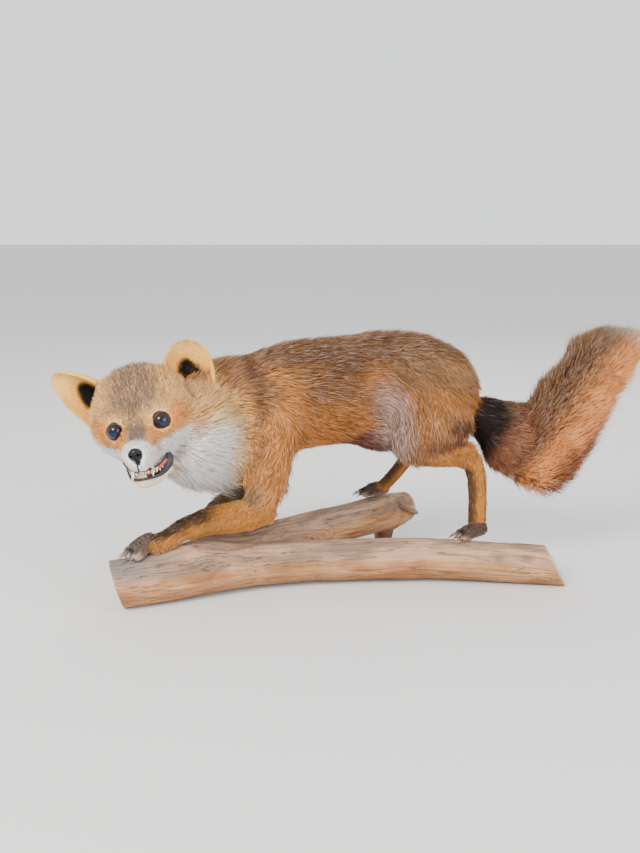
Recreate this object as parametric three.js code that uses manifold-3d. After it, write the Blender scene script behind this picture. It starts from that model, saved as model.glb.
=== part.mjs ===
// Mounted red fox, life size, stalking over a forked branch with its face turned to its left.
// Millimetres, +Z up. +X runs from the head to the tail and the animal's left side faces -Y.
// The solids reach out to the tips of the coat, and the group is centred over its own footprint.
import * as THREE from "three";
import { mergeVertices } from "three/addons/utils/BufferGeometryUtils.js";
import Module from "manifold-3d";

const wasm = await Module();
wasm.setup();

// ---- Driving dimensions ----
const GAP = 0.5; // clearance between neighbouring solids
const EYE_RADIUS = 14;
const EYE_SPREAD = 36.5; // from the middle of the face to each eye
const NOSE_TIP = 75; // ahead of the eye line
const NOSE_DROP = 23; // below the eye line
const LIP_DROP = 52; // gums of the upper teeth below the eye line
const EAR_WALL = 5;
const CANINE_LENGTH = 14;
const TOE_LENGTH = 15;
const CLAW_LENGTH = 13;
const BODY_TURN = degrees(13); // of the trunk away from X
const HEAD_PLACE = [-366.7, -150, 299.5]; // midpoint between the eyes
const HEAD_TURN = degrees(179);
const HEAD_ROLL = degrees(14.2); // the left eye is the higher one
const HEAD_PITCH = degrees(-6.4);

const ACROSS_BODY = [Math.sin(BODY_TURN), -Math.cos(BODY_TURN), 0];
const ACROSS_HEAD = [1, 0, 0];
const ACROSS_JAW = [0.95, 0, 0.3]; // the jaw hangs a little askew, its right side nearer the lip
const ROUNDED = [1, 0.55]; // angles of the rings up a dome that shows
const FORWARD = [0, 1, 0];
const UP = [0, 0, 1];

function degrees(angle) {
  return THREE.MathUtils.degToRad(angle);
}

// ---- Solids: to and from geometry, joining, cutting and placing ----

function solidOf(geometry) {
  const bare = geometry.clone();
  bare.deleteAttribute("normal");
  bare.deleteAttribute("uv");
  const merged = mergeVertices(bare, 1e-4);
  const vertProperties = new Float32Array(merged.attributes.position.array);
  const triVerts = new Uint32Array(merged.index.array);
  return new wasm.Manifold(new wasm.Mesh({ numProp: 3, vertProperties, triVerts }));
}

function geometryOf(solid) {
  const mesh = solid.getMesh();
  const places = new Float32Array(mesh.numVert * 3);
  for (let i = 0; i < mesh.numVert; i++) {
    const from = i * mesh.numProp;
    places.set(mesh.vertProperties.subarray(from, from + 3), i * 3);
  }
  const geometry = new THREE.BufferGeometry();
  geometry.setAttribute("position", new THREE.BufferAttribute(places, 3));
  geometry.setIndex(new THREE.BufferAttribute(new Uint32Array(mesh.triVerts), 1));
  geometry.computeVertexNormals();
  return geometry;
}

const join = (...solids) => solids.reduce((a, b) => a.add(b));
const mainBody = (solid) => solid.decompose().reduce((a, b) => (a.volume() > b.volume() ? a : b));
const cut = (solid, ...others) => mainBody(others.reduce((a, b) => a.subtract(b), solid));

// The part of a solid beyond a plane, on the side that the normal points to.
function beyond(solid, point, normal, clearance = 0) {
  const size = 2000;
  const way = new THREE.Vector3(...normal).normalize();
  const box = new THREE.BoxGeometry(size, size, size);
  box.translate(0, 0, size / 2 + clearance);
  box.applyQuaternion(new THREE.Quaternion().setFromUnitVectors(new THREE.Vector3(...UP), way));
  box.translate(...point);
  return mainBody(solid.intersect(solidOf(box)));
}

function place(point, turn, roll, pitch) {
  const facing = new THREE.Quaternion().setFromEuler(new THREE.Euler(pitch, roll, turn, "ZYX"));
  return new THREE.Matrix4().compose(new THREE.Vector3(...point), facing, new THREE.Vector3(1, 1, 1));
}

const moved = (solid, matrix) => solid.transform(matrix.elements);

// ---- Forms ----

// A closed skin over rings of points that turn the same way, with a pole at each end.
function skinOver(rings, firstPole, lastPole) {
  const places = rings.flat().concat([firstPole, lastPole]);
  const sides = rings[0].length;
  const poles = rings.length * sides;
  const lastRing = poles - sides;
  const faces = [];
  for (let k = 0; k < sides; k++) {
    const next = (k + 1) % sides;
    faces.push([poles, next, k]);
    faces.push([poles + 1, lastRing + k, lastRing + next]);
    for (let a = 0; a < lastRing; a += sides) {
      faces.push([a + k, a + next, a + sides + next]);
      faces.push([a + k, a + sides + next, a + sides + k]);
    }
  }
  const geometry = new THREE.BufferGeometry().setFromPoints(places);
  geometry.setIndex(faces.flat());
  const solid = solidOf(geometry);
  if (solid.volume() > 0) return solid;
  geometry.setIndex(faces.map(([a, b, c]) => [a, c, b]).flat());
  return solidOf(geometry);
}

// A rounded body or limb. Each station is [x, y, z, half width, half height], with a sixth number
// where the lower half differs. Widths lie along across. Sections stand square to the line through
// the stations, or square to facing where that is given. Domes close the two ends.
function form(stations, options = {}) {
  const { sides = 12, steps = 2, across = ACROSS_BODY, facing = null } = options;
  const { domes = [0.6, 0.6], domeAngles = [0.8], squareness = 2, grow = 0 } = options;
  const line = new THREE.CatmullRomCurve3(stations.map((s) => new THREE.Vector3(s[0], s[1], s[2])));
  const halves = stations.map((s) => new THREE.Vector3(s[3], s[4], s[5] ?? s[4]).addScalar(grow));
  const sizes = new THREE.CatmullRomCurve3(halves);
  const wide = new THREE.Vector3(...across).normalize();

  const headingAt = (t) => (facing ? new THREE.Vector3(...facing).normalize() : line.getTangent(t));
  const pointAt = (t, push) => line.getPoint(t).addScaledVector(headingAt(t), push);
  const upSign = new THREE.Vector3().crossVectors(headingAt(0), wide).z < 0 ? -1 : 1;
  const ringAt = (t, share, push) => {
    const heading = headingAt(t);
    const sideways = wide.clone().addScaledVector(heading, -wide.dot(heading)).normalize();
    const upward = new THREE.Vector3().crossVectors(heading, sideways).multiplyScalar(upSign);
    const size = sizes.getPoint(t);
    return Array.from({ length: sides }, (_, k) => {
      const angle = (2 * Math.PI * (k + 0.5)) / sides;
      const [c, s] = [Math.cos(angle), Math.sin(angle)];
      const bulge = (Math.abs(c) ** squareness + Math.abs(s) ** squareness) ** (-1 / squareness);
      const tall = s > 0 ? size.y : size.z;
      const point = pointAt(t, push).addScaledVector(sideways, share * bulge * c * size.x);
      return point.addScaledVector(upward, share * bulge * s * tall);
    });
  };

  const reachAt = (t, dome) => (dome * (sizes.getPoint(t).x + sizes.getPoint(t).y)) / 2;
  const [firstReach, lastReach] = [reachAt(0, domes[0]), reachAt(1, domes[1])];
  const rings = domeAngles.map((a) => ringAt(0, Math.cos(a), -firstReach * Math.sin(a)));
  const spans = (stations.length - 1) * steps;
  for (let i = 0; i <= spans; i++) rings.push(ringAt(i / spans, 1, 0));
  for (const a of [...domeAngles].reverse()) rings.push(ringAt(1, Math.cos(a), lastReach * Math.sin(a)));
  return skinOver(rings, pointAt(0, -firstReach), pointAt(1, lastReach));
}

function ball([x, y, z], [rx, ry, rz], round = 12) {
  const geometry = new THREE.SphereGeometry(1, round, Math.round(round * 0.7));
  geometry.rotateX(Math.PI / 2);
  geometry.scale(rx, ry, rz);
  geometry.translate(x, y, z);
  return solidOf(geometry);
}

// A curved cone from its root to a blunt point, for claws and teeth.
function spike(root, bend, tip, radius, sides = 4) {
  const curve = new THREE.QuadraticBezierCurve3(...[root, bend, tip].map((p) => new THREE.Vector3(...p)));
  const ringAt = (t) => {
    const heading = curve.getTangent(t);
    const sideways = new THREE.Vector3(1, 0, 0).addScaledVector(heading, -heading.x).normalize();
    const upward = new THREE.Vector3().crossVectors(heading, sideways);
    return Array.from({ length: sides }, (_, k) => {
      const angle = (2 * Math.PI * k) / sides;
      const reach = radius * (1 - 0.8 * t);
      const point = curve.getPoint(t).addScaledVector(sideways, reach * Math.cos(angle));
      return point.addScaledVector(upward, reach * Math.sin(angle));
    });
  };
  return skinOver([0, 0.5, 0.88].map(ringAt), curve.getPoint(0), curve.getPoint(1));
}

// ---- Head, in its own frame: X to the animal's right, Y to the nose, Z up, eyes on the X axis ----

const headPlace = place(HEAD_PLACE, HEAD_TURN, HEAD_ROLL, HEAD_PITCH);

function skull(grow = 0) {
  return form(
    [
      [0, -104, 2, 58, 60, 60],
      [0, -82, 3, 75, 77, 70],
      [0, -58, 0, 86, 85, 72],
      [0, -34, -6, 86, 72, 68],
      [0, -12, -11, 66, 47, 57],
      [0, 8, -17, 47, 31, 48],
      [0, 26, -21, 32, 21, 41],
      [0, 44, -23, 25, 16, 36],
      [0, 58, -24, 21, 14, 32],
      [0, 67, -26, 16, 11, 25],
    ],
    {
      sides: 18,
      steps: 1,
      across: ACROSS_HEAD,
      facing: FORWARD,
      domes: [0.5, 0.35],
      domeAngles: ROUNDED,
      squareness: 2.15,
      grow,
    },
  );
}

function lowerJaw(grow = 0) {
  return form(
    [
      [2, -28, -72, 36, 20, 24],
      [4, -6, -79, 29, 15, 18],
      [7, 16, -80, 22, 13, 14],
      [10, 34, -77, 17, 11, 13],
      [12, 47, -74, 12, 9, 10],
    ],
    { sides: 12, steps: 1, across: ACROSS_JAW, domes: [0.5, 0.7], domeAngles: ROUNDED, grow },
  );
}

function nosePad(grow = 0) {
  const tip = ball([0, NOSE_TIP - 7, -NOSE_DROP], [11 + grow, 8 + grow, 10 + grow], 10);
  const cleft = ball([0, NOSE_TIP - 7, -NOSE_DROP - 9], [4 + grow, 6.5 + grow, 9 + grow], 8);
  return join(tip, cleft);
}

function eyeball(side, grow = 0) {
  const radius = EYE_RADIUS + grow;
  return ball([side * EYE_SPREAD, 0, 0], [radius, radius, radius]);
}

function tongue() {
  return form(
    [
      [3, -4, -63, 15, 6],
      [5, 16, -67, 13, 5],
      [8, 32, -66, 9, 4],
    ],
    { sides: 8, steps: 1, across: ACROSS_JAW, domes: [0.6, 0.9] },
  );
}

function upperTeeth() {
  const canines = [-13, 13].map((x) =>
    spike([x, 52, 8 - LIP_DROP], [1.2 * x, 58, -LIP_DROP], [1.3 * x, 55, -LIP_DROP - CANINE_LENGTH], 3.6, 5),
  );
  const incisors = [-6, -2, 2, 6].map((x) =>
    spike([x, 58, 6 - LIP_DROP], [x, 63, -LIP_DROP], [x, 62, -LIP_DROP - 7], 2.4),
  );
  const cheekTeeth = [0, 1, 2].map((i) => {
    const [x, y] = [-17 - 4 * i, 42 - 10 * i];
    return spike([x, y, 4 - LIP_DROP], [x, y, -LIP_DROP], [x - 1, y, -LIP_DROP - 11 - 2 * (i % 2)], 3.4);
  });
  return join(...canines, ...incisors, ...cheekTeeth);
}

function lowerTeeth() {
  const canines = [0, 23].map((x) => {
    const gum = -70 + 0.25 * x;
    return spike([x, 46, gum], [x, 54, gum + 6], [x, 55, gum + 14], 3);
  });
  const incisors = [6, 10, 14, 18].map((x) => {
    const gum = -68 + 0.2 * x;
    return spike([x, 50, gum], [x, 56, gum + 3], [x, 56, gum + 8], 2.2);
  });
  return join(...canines, ...incisors);
}

// A cupped ear: crescent sections that stand on a foot point and run along an axis to the tip.
function earShell({ foot, axis, opening, length, halfWidths, cups }, grow = 0) {
  const along = new THREE.Vector3(...axis).normalize();
  const front = new THREE.Vector3(...opening);
  front.addScaledVector(along, -front.dot(along)).normalize();
  const wide = new THREE.Vector3().crossVectors(front, along);
  const at = (x, y, z) => {
    const point = new THREE.Vector3(...foot).addScaledVector(wide, x);
    return point.addScaledVector(front, y).addScaledVector(along, z);
  };
  const profile = new THREE.CatmullRomCurve3(halfWidths.map((w, i) => new THREE.Vector3(w, cups[i], 0)));
  const levels = 6;
  const arc = [-1, -0.72, -0.4, 0, 0.4, 0.72, 1].map((share) => share * (Math.PI / 2));
  const rings = Array.from({ length: levels + 1 }, (_, i) => {
    const t = i / levels;
    const { x: half, y: cup } = profile.getPoint(t);
    const wall = EAR_WALL * (1.2 - 0.6 * t);
    const height = length * Math.sin(t * (Math.PI / 2)) ** 0.9;
    const outer = arc.map((a) => at((half + grow) * Math.sin(a), -(cup + grow) * Math.cos(a), height));
    const inner = arc.map((a) => at((half - wall) * Math.sin(a), wall + grow - cup * Math.cos(a), height));
    return outer.concat(inner.reverse());
  });
  const [firstCup, lastCup] = [cups[0], cups[cups.length - 1]];
  return skinOver(rings, at(0, EAR_WALL / 2 - firstCup, -2), at(0, -lastCup / 2, length + 1));
}

const EARS = {
  ear_right: {
    foot: [64, -62, 26],
    axis: [0.66, -0.06, 0.75],
    opening: [0.1, 1, 0],
    length: 86,
    halfWidths: [41, 36, 27, 18, 8],
    cups: [30, 26, 18, 10, 4],
  },
  ear_left: {
    foot: [-80, -58, 18],
    axis: [-0.22, -0.12, 0.97],
    opening: [-0.05, 1, 0],
    length: 78,
    halfWidths: [44, 43, 37, 28, 12],
    cups: [32, 29, 22, 14, 6],
  },
};

// ---- Neck, trunk and tail ----

function trunk(grow = 0) {
  return form(
    [
      [-196, -26, 316, 58, 84, 84],
      [-150, -12, 315, 68, 102, 94],
      [-95, 4, 322, 72, 98, 92],
      [-35, 20, 327, 70, 96, 94],
      [25, 34, 329, 68, 96, 112],
      [82, 48, 330, 70, 92, 100],
      [130, 56, 322, 62, 77, 80],
      [160, 62, 306, 44, 58, 58],
    ],
    { sides: 14, steps: 1, domes: [0.5, 0.45], domeAngles: ROUNDED, grow },
  );
}

function neckAndBib() {
  const nape = form(
    [
      [-180, -22, 318, 58, 82, 84],
      [-222, -28, 315, 66, 82, 86],
      [-270, -34, 310, 66, 78, 80],
      [-318, -36, 304, 60, 66, 74],
      [-346, -50, 302, 54, 60, 68],
    ],
    { sides: 12, steps: 1, domes: [0.4, 0.5] },
  );
  const bib = form(
    [
      [-192, -48, 262, 44, 58, 62],
      [-250, -66, 252, 58, 74, 74],
      [-305, -84, 246, 56, 72, 65],
      [-340, -96, 252, 42, 56, 52],
    ],
    { sides: 12, steps: 1, domes: [0.5, 0.6], domeAngles: ROUNDED },
  );
  const cheekRuff = ball([-268, -92, 280], [50, 46, 66]);
  return join(nape, bib, cheekRuff);
}

function tailRoot(grow = 0) {
  return form(
    [
      [178, 66, 284, 34, 38, 36],
      [212, 71, 262, 38, 48, 42],
      [246, 75, 240, 48, 64, 58],
      [280, 78, 224, 54, 72, 66],
    ],
    { sides: 12, steps: 1, domes: [0.5, 0.6], grow },
  );
}

function brush(grow = 0) {
  return form(
    [
      [314, 80, 210, 60, 87, 88],
      [346, 83, 262, 66, 82, 80],
      [379, 86, 321, 66, 73, 73],
      [410, 89, 368, 62, 64, 66],
      [440, 92, 394, 54, 50, 58],
      [468, 94, 405, 42, 34, 44],
      [490, 95, 405, 28, 22, 28],
    ],
    { sides: 14, steps: 1, domes: [1.1, 0.8], domeAngles: ROUNDED, grow },
  );
}

// ---- Legs ----

const foreLeft = {
  inner: 1,
  upper: (grow) =>
    form(
      [
        [-168, -52, 312, 30, 48],
        [-172, -64, 250, 38, 46],
        [-174, -70, 198, 36, 40],
        [-178, -72, 160, 30, 34],
      ],
      { steps: 1, grow },
    ),
  forearm: (grow) =>
    form(
      [
        [-176, -72, 148, 27, 30],
        [-204, -75, 135, 25, 29],
        [-240, -80, 128.5, 23, 26.5],
        [-275, -87, 124.5, 20, 24],
        [-312, -97, 114, 18, 20],
        [-340, -107, 101, 16, 17],
        [-356, -114, 96, 16, 15],
      ],
      { sides: 10, steps: 1, grow },
    ),
  pawPlace: place([-379, -124, 81], degrees(131), 0, degrees(-10)),
  curl: 2,
};

const foreRight = {
  inner: -1,
  upper: (grow) =>
    form(
      [
        [-165, 42, 300, 30, 46],
        [-170, 50, 245, 34, 46],
        [-172, 48, 200, 30, 38],
        [-176, 42, 168, 24, 30],
      ],
      { steps: 1, grow },
    ),
  forearm: (grow) =>
    form(
      [
        [-170, 42, 158, 22, 27],
        [-202, 36, 139, 20, 23],
        [-238, 24, 131, 18, 20],
        [-264, 10, 124, 16, 17],
        [-276, -2, 114, 15, 16],
        [-278, -12, 104, 15, 15],
      ],
      { sides: 10, steps: 1, grow },
    ),
  pawPlace: place([-283, -28, 83], degrees(116), 0, degrees(-3)),
  curl: 1,
};

const hindLeft = {
  thigh: (grow) =>
    form(
      [
        [100, 22, 350, 34, 60],
        [95, 8, 305, 44, 80],
        [84, 0, 264, 42, 76],
        [64, -6, 232, 32, 44],
        [54, -8, 218, 24, 28],
      ],
      { sides: 14, steps: 1, domes: [0.5, 0.5], grow },
    ),
  shank: (grow) =>
    form(
      [
        [62, -8, 222, 24, 22],
        [112, 4, 219, 22, 25],
        [152, 14, 215, 19, 24],
        [172, 19, 206, 17, 21],
      ],
      { sides: 10, steps: 1, grow },
    ),
  metatarsus: (grow) =>
    form(
      [
        [176, 20, 207, 16, 20],
        [187, 21, 172, 15, 18.5],
        [189, 16, 132, 14, 17.5],
        [187, 6, 96, 15, 17],
      ],
      { sides: 10, steps: 1, grow },
    ),
  pawPlace: place([171, -12, 69], degrees(104), 0, degrees(-2)),
  curl: 1,
};

const hindRight = {
  thigh: (grow) =>
    form(
      [
        [96, 82, 346, 32, 58],
        [82, 96, 305, 38, 68],
        [48, 104, 276, 34, 52],
        [12, 108, 256, 28, 32],
      ],
      { sides: 12, steps: 1, domes: [0.5, 0.5], grow },
    ),
  shank: (grow) =>
    form(
      [
        [14, 108, 250, 22, 24],
        [56, 110, 237, 20, 22],
        [90, 111, 223, 17, 20],
      ],
      { sides: 10, steps: 1, grow },
    ),
  metatarsus: (grow) =>
    form(
      [
        [92, 111, 214, 15, 18],
        [76, 113, 186, 13.5, 15],
        [54, 117, 155, 12.5, 13.5],
        [30, 121, 126, 12.5, 13],
      ],
      { sides: 10, steps: 1, grow },
    ),
  pawPlace: place([9, 124, 106], degrees(88), 0, degrees(-1)),
  curl: 1,
};

const LEGS = {
  foreleg_left: foreLeft,
  foreleg_right: foreRight,
  hindleg_left: hindLeft,
  hindleg_right: hindRight,
};
const SEGMENTS = ["upper", "forearm", "thigh", "shank", "metatarsus"];

// ---- Paws, each in its own frame: X to its right, Y to the toes, the sole on Z = 0 ----

const TOES = [
  { x: -15, y: 12 },
  { x: -5.5, y: 19 },
  { x: 5.5, y: 19 },
  { x: 15, y: 12 },
];

function paw(curl, grow = 0) {
  const palm = form(
    [
      [0, -26, 18, 13, 13],
      [0, -12, 16, 17, 14],
      [0, 4, 13, 19, 12],
    ],
    { sides: 8, steps: 1, across: ACROSS_HEAD, domes: [0.7, 0.5], grow },
  );
  const toes = TOES.map(({ x, y }) =>
    form(
      [
        [0.8 * x, y - TOE_LENGTH, 12, 6.5, 8],
        [x, y, 10 - curl, 6.5, 8],
      ],
      { sides: 6, steps: 1, across: ACROSS_HEAD, domes: [0.6, 0.9], grow },
    ),
  );
  return join(palm, ...toes);
}

function claw({ x, y }, curl) {
  const root = [x, y + 2, 10 - curl];
  const bend = [1.05 * x, y + 11, 11 - curl];
  const tip = [1.1 * x, y + 5 + CLAW_LENGTH, 3 - curl];
  return spike(root, bend, tip, 2.6);
}

// The fifth claw of a forefoot, on the inner side of the wrist.
const dewclaw = (inner) => spike([14 * inner, -18, 17], [20 * inner, -13, 16], [20 * inner, -7, 9], 2.6);

// ---- The forked branch, in two limbs that lie on flats planed into their undersides ----

const SAWN_LEFT = { point: [-414, -146, 40], normal: [0.94, 0.22, 0.26] };
const SAWN_RIGHT = { point: [312, -42, 40], normal: [-0.87, 0.1, -0.48] };

function frontLimb(grow = 0) {
  const limb = form(
    [
      [-460, -160, 38.5, 39, 41, 42],
      [-352, -120, 39.5, 38, 40, 41.5],
      [-286, -92, 39, 38, 39, 38],
      [-200, -55, 39, 37, 38, 36],
      [-100, -33, 38, 36, 36, 35],
      [0, -26, 38.5, 36, 36, 35],
      [100, -22, 39, 35, 36, 36],
      [200, -29, 36, 34, 34, 35],
      [360, -46, 31, 32, 34, 34.5],
    ],
    { sides: 14, steps: 1, domes: [0.02, 0.02], grow },
  );
  const sawn = beyond(limb, SAWN_LEFT.point, SAWN_LEFT.normal, -grow);
  return beyond(sawn, SAWN_RIGHT.point, SAWN_RIGHT.normal, -grow);
}

function rearLimb(grow = 0) {
  const limb = form(
    [
      [-318, -98, 44, 30, 30],
      [-262, -50, 46, 38, 38],
      [-205, -14, 52, 40, 38],
      [-150, 16, 60, 38, 38],
      [-50, 78, 68, 34, 35],
      [10, 120, 71, 34, 36],
      [46, 143, 71, 34, 36],
      [82, 161, 78, 24, 28],
    ],
    { sides: 14, steps: 1, domes: [0.3, 0.35], grow },
  );
  const brokenTwig = form(
    [
      [74, 136, 78, 9, 10],
      [92, 128, 72, 7, 8],
    ],
    { sides: 8, steps: 1, domes: [0.3, 0.1], grow },
  );
  const knotFoot = form(
    [
      [36, 148, 50, 22, 22],
      [34, 152, 18, 17, 18],
      [33, 153, -6, 14, 15],
    ],
    { sides: 10, steps: 1, domes: [0.2, 0.2], grow },
  );
  return join(limb, brokenTwig, knotFoot);
}

const aboveFloor = (solid) => beyond(solid, [0, 0, 0], UP);

// ---- Materials ----

const finish = (color, roughness, metalness = 0) =>
  new THREE.MeshStandardMaterial({ color, roughness, metalness });

const MATERIALS = {
  coat: () => finish(0xb5793f, 0.9),
  greyCoat: () => finish(0x9a7f63, 0.9),
  darkCoat: () => finish(0x5a4433, 0.9),
  brushCoat: () => finish(0xb98455, 0.9),
  bareEar: () => finish(0xe6c083, 0.8),
  bareSkin: () => finish(0xe8cfae, 0.6),
  glass: () => finish(0x14161c, 0.05),
  nose: () => finish(0x15151a, 0.3),
  tongue: () => finish(0xc9564e, 0.4),
  claw: () => finish(0x4b3a2f, 0.45),
  wood: () => finish(0xa98a6c, 0.85),
};

// ---- Assembly ----

const group = new THREE.Group();

function add(name, solid, material) {
  const mesh = new THREE.Mesh(geometryOf(solid), material);
  mesh.name = name;
  group.add(mesh);
}

const inHead = (solid) => moved(solid, headPlace);

function addHead() {
  const sockets = [nosePad(GAP), eyeball(-1, GAP), eyeball(1, GAP)];
  add("head", inHead(cut(join(skull(), upperTeeth()), ...sockets)), MATERIALS.greyCoat());
  add("jaw", inHead(cut(join(lowerJaw(), lowerTeeth()), skull(GAP))), MATERIALS.bareSkin());
  add("tongue", inHead(cut(tongue(), lowerJaw(GAP), skull(GAP))), MATERIALS.tongue());
  add("nose", inHead(nosePad()), MATERIALS.nose());
  add("eye_right", inHead(eyeball(1)), MATERIALS.glass());
  add("eye_left", inHead(eyeball(-1)), MATERIALS.glass());
  for (const [name, ear] of Object.entries(EARS)) {
    add(name, inHead(cut(earShell(ear), skull(GAP))), MATERIALS.bareEar());
  }
}

function addBody() {
  const headRoom = [skull(GAP), lowerJaw(GAP), ...Object.values(EARS).map((ear) => earShell(ear, GAP))];
  const legRoom = [foreLeft, foreRight].flatMap((leg) => [leg.upper(GAP), leg.forearm(GAP)]);
  add("neck", cut(neckAndBib(), trunk(GAP), ...legRoom, ...headRoom.map(inHead)), MATERIALS.coat());
  add("trunk", trunk(), MATERIALS.coat());
}

function addTail() {
  const tipStart = [408, 89, 365];
  const tipWay = [0.62, 0.05, 0.78];
  const backWay = tipWay.map((v) => -v);
  add("tail_root", cut(tailRoot(), trunk(GAP), brush(GAP), hindLeft.thigh(GAP)), MATERIALS.darkCoat());
  add("tail_brush", beyond(brush(), tipStart, backWay, GAP / 2), MATERIALS.brushCoat());
  add("tail_tip", beyond(brush(), tipStart, tipWay, GAP / 2), MATERIALS.brushCoat());
}

function addLeg(name, leg) {
  const wood = [frontLimb(GAP), rearLimb(GAP)];
  const segments = SEGMENTS.filter((segment) => leg[segment]);
  segments.forEach((segment, i) => {
    const above = segments.slice(0, i).map((higher) => leg[higher](GAP));
    add(`${name}_${segment}`, cut(leg[segment](0), trunk(GAP), ...above, ...wood), MATERIALS.coat());
  });
  const ankle = leg[segments.at(-1)](GAP);
  const inPlace = (solid) => moved(solid, leg.pawPlace);
  add(`${name}_paw`, cut(inPlace(paw(leg.curl)), ankle, ...wood), MATERIALS.darkCoat());

  const claws = new Map(TOES.map((toe, i) => [`claw_${i + 1}`, claw(toe, leg.curl)]));
  if (leg.inner) claws.set("dewclaw", dewclaw(leg.inner));
  const flesh = [inPlace(paw(leg.curl, GAP)), ankle];
  claws.forEach((horn, clawName) => {
    add(`${name}_${clawName}`, cut(inPlace(horn), ...flesh, ...wood), MATERIALS.claw());
  });
}

function addBranch() {
  add("branch_front", aboveFloor(frontLimb()), MATERIALS.wood());
  add("branch_rear", aboveFloor(cut(rearLimb(), frontLimb(GAP))), MATERIALS.wood());
}

addHead();
addBody();
addTail();
Object.entries(LEGS).forEach(([name, leg]) => addLeg(name, leg));
addBranch();

// The origin is the middle of the footprint, on the floor.
const extent = new THREE.Box3().setFromObject(group);
const middle = extent.getCenter(new THREE.Vector3());
group.position.set(-middle.x, -middle.y, -extent.min.z);

export default group;
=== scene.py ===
"""A mounted red fox, life size, stalking over a forked branch.

The file follows the mount as it is put together: the studio round it, the branch, the skin over
the body form with its markings, the coat, tuft by tuft, and last the eyes, the nose, the mouth
and the claws.
"""
import math

import bmesh
import bpy
import numpy as np
from mathutils import Matrix, Vector, noise
from mathutils.bvhtree import BVHTree


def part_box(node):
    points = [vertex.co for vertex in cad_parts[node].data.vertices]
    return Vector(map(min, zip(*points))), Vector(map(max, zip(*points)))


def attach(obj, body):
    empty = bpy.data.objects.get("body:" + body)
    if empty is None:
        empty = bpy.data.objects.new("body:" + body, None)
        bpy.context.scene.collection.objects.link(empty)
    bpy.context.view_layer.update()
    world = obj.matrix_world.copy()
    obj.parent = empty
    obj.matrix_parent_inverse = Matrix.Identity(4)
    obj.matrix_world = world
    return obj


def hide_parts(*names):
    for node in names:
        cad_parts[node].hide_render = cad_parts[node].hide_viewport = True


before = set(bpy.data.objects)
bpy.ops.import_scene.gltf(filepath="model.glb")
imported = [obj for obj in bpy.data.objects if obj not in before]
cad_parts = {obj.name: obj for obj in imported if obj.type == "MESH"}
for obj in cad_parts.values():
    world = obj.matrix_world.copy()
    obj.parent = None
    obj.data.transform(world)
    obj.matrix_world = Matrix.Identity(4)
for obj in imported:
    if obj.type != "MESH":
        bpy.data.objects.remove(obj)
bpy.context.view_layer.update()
MM = 0.001


# ---- The studio ----
# A plain pale floor, a soft sky light and three large soft lamps, and the camera a little above
# the animal's back, at its left side.

def middle(node):
    low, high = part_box(node)
    return (low + high) / 2


EYES_MIDDLE = (middle("eye_left") + middle("eye_right")) / 2
CAMERA_FROM_EYES = Vector((279.7, -1400, 300.5)) * MM
CAMERA_PITCH = math.radians(90 - 12.14)
CAMERA_LENS = 52.31
FLOOR_SIZE = 60
FLOOR_COLOUR = (0.62, 0.61, 0.6, 1)
SKY_COLOUR = (0.86, 0.88, 0.9, 1)
SKY_STRENGTH = 1.6
# Where each lamp hangs, how wide it is, its power and its colour.
LAMPS = {
    "key": ((-1.6, -2.1, 2.4), 1.6, 165, (1, 0.96, 0.9)),
    "fill": ((2.2, -1.8, 1.3), 2.4, 76, (0.98, 0.98, 1)),
    "back": ((0.6, 2.2, 2.2), 1.8, 30, (1, 1, 1)),
}


def put(name, data):
    """A new object in the scene."""
    made = bpy.data.objects.new(name, data)
    bpy.context.scene.collection.objects.link(made)
    return made


def mesh_of(name, made):
    """What a bmesh holds, as a mesh of this name."""
    mesh = bpy.data.meshes.new(name)
    made.to_mesh(mesh)
    made.free()
    return mesh


def add_floor():
    sheet = bmesh.new()
    bmesh.ops.create_grid(sheet, x_segments=1, y_segments=1, size=FLOOR_SIZE / 2)
    floor = put("floor", mesh_of("floor", sheet))
    paint = bpy.data.materials.new("floor")
    paint.use_nodes = True
    shader = paint.node_tree.nodes["Principled BSDF"]
    shader.inputs["Base Color"].default_value = FLOOR_COLOUR
    shader.inputs["Roughness"].default_value = 0.9
    floor.data.materials.append(paint)


def add_lamp(name, place, width, power, colour):
    lamp = bpy.data.lights.new(name, "AREA")
    lamp.shape = "DISK"
    lamp.size = width
    lamp.energy = power
    lamp.color = colour
    holder = put(name, lamp)
    holder.location = place
    holder.rotation_euler = (middle("trunk") - Vector(place)).to_track_quat("-Z", "Y").to_euler()


add_floor()
for lamp_name, lamp_values in LAMPS.items():
    add_lamp(lamp_name, *lamp_values)

sky = bpy.data.worlds.new("sky")
sky.use_nodes = True
sky.node_tree.nodes["Background"].inputs["Color"].default_value = SKY_COLOUR
sky.node_tree.nodes["Background"].inputs["Strength"].default_value = SKY_STRENGTH
bpy.context.scene.world = sky

camera = bpy.data.cameras.new("camera")
camera.sensor_fit = "HORIZONTAL"
camera.sensor_width = 36
camera.lens = CAMERA_LENS
tripod = put("camera", camera)
tripod.location = EYES_MIDDLE + CAMERA_FROM_EYES
tripod.rotation_euler = (CAMERA_PITCH, 0, 0)
bpy.context.scene.camera = tripod


# ---- The branch ----
# A fork of weathered wood that lost its bark long ago, sawn off at both ends and planed flat
# where it lies on the floor. The two limbs grew as one, so one piece stands for both.

BRANCH = ("branch_front", "branch_rear")
WOOD_VOXEL = 2.4 * MM
SAME_CORNER = 0.01 * MM
WELD = 0.45 * MM  # closes the thin gap between two neighbouring solids
COLLAR_HEIGHT = 12 * MM  # of the wood that bulges beside the left forepaw
SWELL_HEIGHT = 8 * MM  # of the wood under the left forearm


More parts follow.
